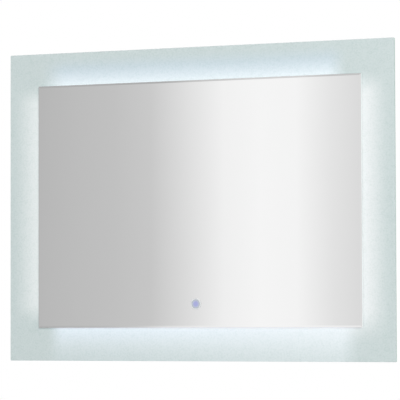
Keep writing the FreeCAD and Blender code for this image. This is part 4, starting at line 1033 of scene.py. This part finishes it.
@dataclass
class Studio:
    """Floor, lamps, the room that shines back from the mirror, and the camera."""

    floor_z: float = -1.2
    floor_size: float = 16.0
    dome_radius: float = 6.5
    dome_rings: int = 24
    dome_sides: int = 48
    dome_centre: Vector = field(default_factory=lambda: Vector((0.0, 0.0, -0.15)))
    camera_place: Vector = field(default_factory=lambda: Vector((2.0091, -4.6111, -0.3665)))
    camera_yaw_deg: float = 23.639
    camera_pitch_deg: float = 2.561
    camera_roll_deg: float = -0.17
    camera_lens: float = 236.1
    camera_reach: float = 60.0
    room_level: float = 0.53
    lamps: tuple[SoftLamp, ...] = (
        SoftLamp("key", (2.6, -3.2, 2.2), size=2.5, power=93.0),
        SoftLamp("fill", (-3.5, -4.5, 2.5), size=3.0, power=38.0),
        SoftLamp("rear", (2.0, 5.0, 3.0), size=3.0, power=120.0))
    under_fade_deg: tuple[float, float] = (-30.0, -18.0)
    wall_head_fade_deg: tuple[float, float] = (0.0, 8.0)
    ceiling_fade_deg: tuple[float, float] = (24.0, 38.0)
    wall: RoomBelt = RoomBelt((
        (-178.0, 0.9), (-75.0, 0.5), (-31.0, 0.51), (-26.2, 0.58), (-21.4, 1.0), (-20.2, 1.0),
        (-17.0, 0.74), (0.0, 0.82), (24.0, 0.78), (178.0, 0.9)))
    wall_head: RoomBelt = RoomBelt((
        (-178.0, 0.9), (-75.0, 0.5), (-30.6, 0.5), (-26.5, 0.585), (-21.75, 1.0), (-20.0, 1.0),
        (-16.9, 0.75), (0.0, 0.82), (24.0, 0.78), (178.0, 0.9)))
    under: RoomBelt = RoomBelt((
        (-178.0, 0.6), (-39.0, 0.48), (-36.5, 0.54), (-32.5, 0.9), (-29.0, 1.0), (-20.0, 0.82),
        (60.0, 0.7), (178.0, 0.75)))
    ceiling: RoomBelt = RoomBelt((
        (-178.0, 0.47), (-36.6, 0.46), (-34.6, 0.63), (-32.0, 0.71), (-29.6, 0.71),
        (-28.6, 0.6), (178.0, 0.5)))

    def camera(self) -> None:
        """Set the camera where the photograph was taken from."""
        yaw, pitch, roll = (math.radians(angle) for angle in (
            self.camera_yaw_deg, self.camera_pitch_deg, self.camera_roll_deg))
        ahead = Vector((-math.sin(yaw) * math.cos(pitch), math.cos(yaw) * math.cos(pitch),
                        math.sin(pitch)))
        level = Vector((math.cos(yaw), math.sin(yaw), 0.0))
        above = level.cross(ahead)
        right = level * math.cos(roll) + above * math.sin(roll)
        up = above * math.cos(roll) - level * math.sin(roll)
        turn = Matrix((right, up, -ahead)).transposed()
        data = bpy.data.cameras.new("camera")
        data.lens = self.camera_lens
        data.clip_end = self.camera_reach
        camera = bpy.data.objects.new("camera", data)
        camera.matrix_world = Matrix.Translation(self.camera_place) @ turn.to_4x4()
        bpy.context.scene.collection.objects.link(camera)
        bpy.context.scene.camera = camera

    def world(self) -> None:
        """White background, also in glossy and clear surfaces; softer light on the rest."""
        world = bpy.data.worlds.new("studio")
        world.use_nodes = True
        w = Nodes(world.node_tree)
        path = w.add("LightPath").node.outputs
        gloss = w.add("Math", {0: path["Is Camera Ray"], 1: path["Is Glossy Ray"]},
                      operation="MAXIMUM")
        seen = w.add("Math", {0: gloss, 1: path["Is Transmission Ray"]}, operation="MAXIMUM")
        strength = w.add("MapRange", {0: seen, 3: self.room_level, 4: 1.0})
        sky = w.add("Background", {"Color": (1, 1, 1, 1), "Strength": strength})
        w.add("OutputWorld", {"Surface": sky})
        bpy.context.scene.world = world

    def place_mesh(self, name: str, points: list, faces: list,
                   material: bpy.types.Material) -> bpy.types.Object:
        """Put a piece of the studio in the scene, out of the part.

        Args:
            name: Its name.
            points: Its corners.
            faces: Its faces, by corner numbers.
            material: Its material.

        Returns:
            The new object.
        """
        mesh = bpy.data.meshes.new(name)
        mesh.from_pydata(points, [], faces)
        mesh.materials.append(material)
        piece = bpy.data.objects.new(name, mesh)
        bpy.context.scene.collection.objects.link(piece)
        return piece

    def floor(self) -> None:
        """Lay the plain pale floor, which takes the object's soft shadow."""
        half = self.floor_size / 2
        floor = self.place_mesh(
            "floor", [(x, y, self.floor_z) for x, y in (
                (-half, -half), (half, -half), (half, half), (-half, half))],
            [(0, 1, 2, 3)], FloorPaint("matt_floor_paint").material())
        floor.visible_glossy = False

    def room(self) -> None:
        """The room that the mirror shows: a soft grey wall with a lit stretch to the left.

        Only mirror and gloss see it, so it lights nothing and hides nothing.
        """
        points = []
        for ring in range(self.dome_rings + 1):
            rise = math.pi * (ring / self.dome_rings - 0.5)
            for side in range(self.dome_sides):
                turn = 2 * math.pi * side / self.dome_sides
                points.append(self.dome_centre + self.dome_radius * Vector((
                    math.cos(rise) * math.cos(turn), math.cos(rise) * math.sin(turn),
                    math.sin(rise))))
        faces = []
        for ring in range(self.dome_rings):
            for side in range(self.dome_sides):
                start, after = ring * self.dome_sides, (side + 1) % self.dome_sides
                faces.append((start + side, start + after,
                              start + self.dome_sides + after, start + self.dome_sides + side))
        room = self.place_mesh("room", points, faces, self.room_glow())
        for ray in ("camera", "diffuse", "transmission", "volume_scatter", "shadow"):
            setattr(room, "visible_" + ray, False)

    def room_glow(self) -> bpy.types.Material:
        """Brightness of the room by the direction from the mirror.

        Returns:
            An emission material.
        """
        s = Surface("room_glow")
        middle = s.add("VectorMath", {0: s.place, 1: self.dome_centre}, operation="SUBTRACT")
        aside, into, up = s.add("SeparateXYZ", {0: middle}).node.outputs
        ahead = s.add("Math", {0: into, 1: -1.0}, operation="MULTIPLY")
        turn = s.add("Math", {0: s.add("Math", {0: aside, 1: ahead}, operation="ARCTAN2")},
                     operation="DEGREES")
        height = s.add("Math", {0: up, 1: self.dome_radius}, operation="DIVIDE")
        rise = s.add("Math", {0: s.add("Math", {0: height}, operation="ARCSINE")},
                     operation="DEGREES")
        # The belts follow each other from the floor up, each fading into the next.
        whole = self.under.light(s, turn)
        for belt, (start, end), fade in (
                (self.wall, self.under_fade_deg, SMOOTH),
                (self.wall_head, self.wall_head_fade_deg, {}),
                (self.ceiling, self.ceiling_fade_deg, SMOOTH)):
            share = s.add("MapRange", {0: rise, 1: start, 2: end}, **fade)
            whole = s.add("Mix", {0: share, 6: whole, 7: belt.light(s, turn)}, 2,
                          data_type="RGBA")
        glow = s.add("Emission", {"Color": whole, "Strength": 1.0})
        s.add("OutputMaterial", {"Surface": glow})
        return s.material

    def build(self) -> None:
        """Set up the studio."""
        bpy.context.scene.view_settings.view_transform = "Standard"
        self.camera()
        self.world()
        self.floor()
        self.room()
        for lamp in self.lamps:
            lamp.hang(self.dome_centre)


def main() -> None:
    """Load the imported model, dress it piece by piece and set up the studio."""
    logging.basicConfig(level=logging.INFO, format="%(name)s %(message)s")
    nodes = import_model()["nodes"]
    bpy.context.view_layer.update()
    for kind in (Glasses, RearFrame, WallHanging, LightStrips, TouchSwitch, Driver,
                 LowVoltageLeads):
        group = kind(nodes)
        group.build()
        for piece, finish in group.dressed.items():
            LOG.info("%s: %s in %s", kind.__name__, piece, finish)
    Studio().build()


if __name__ == "__main__":
    main()
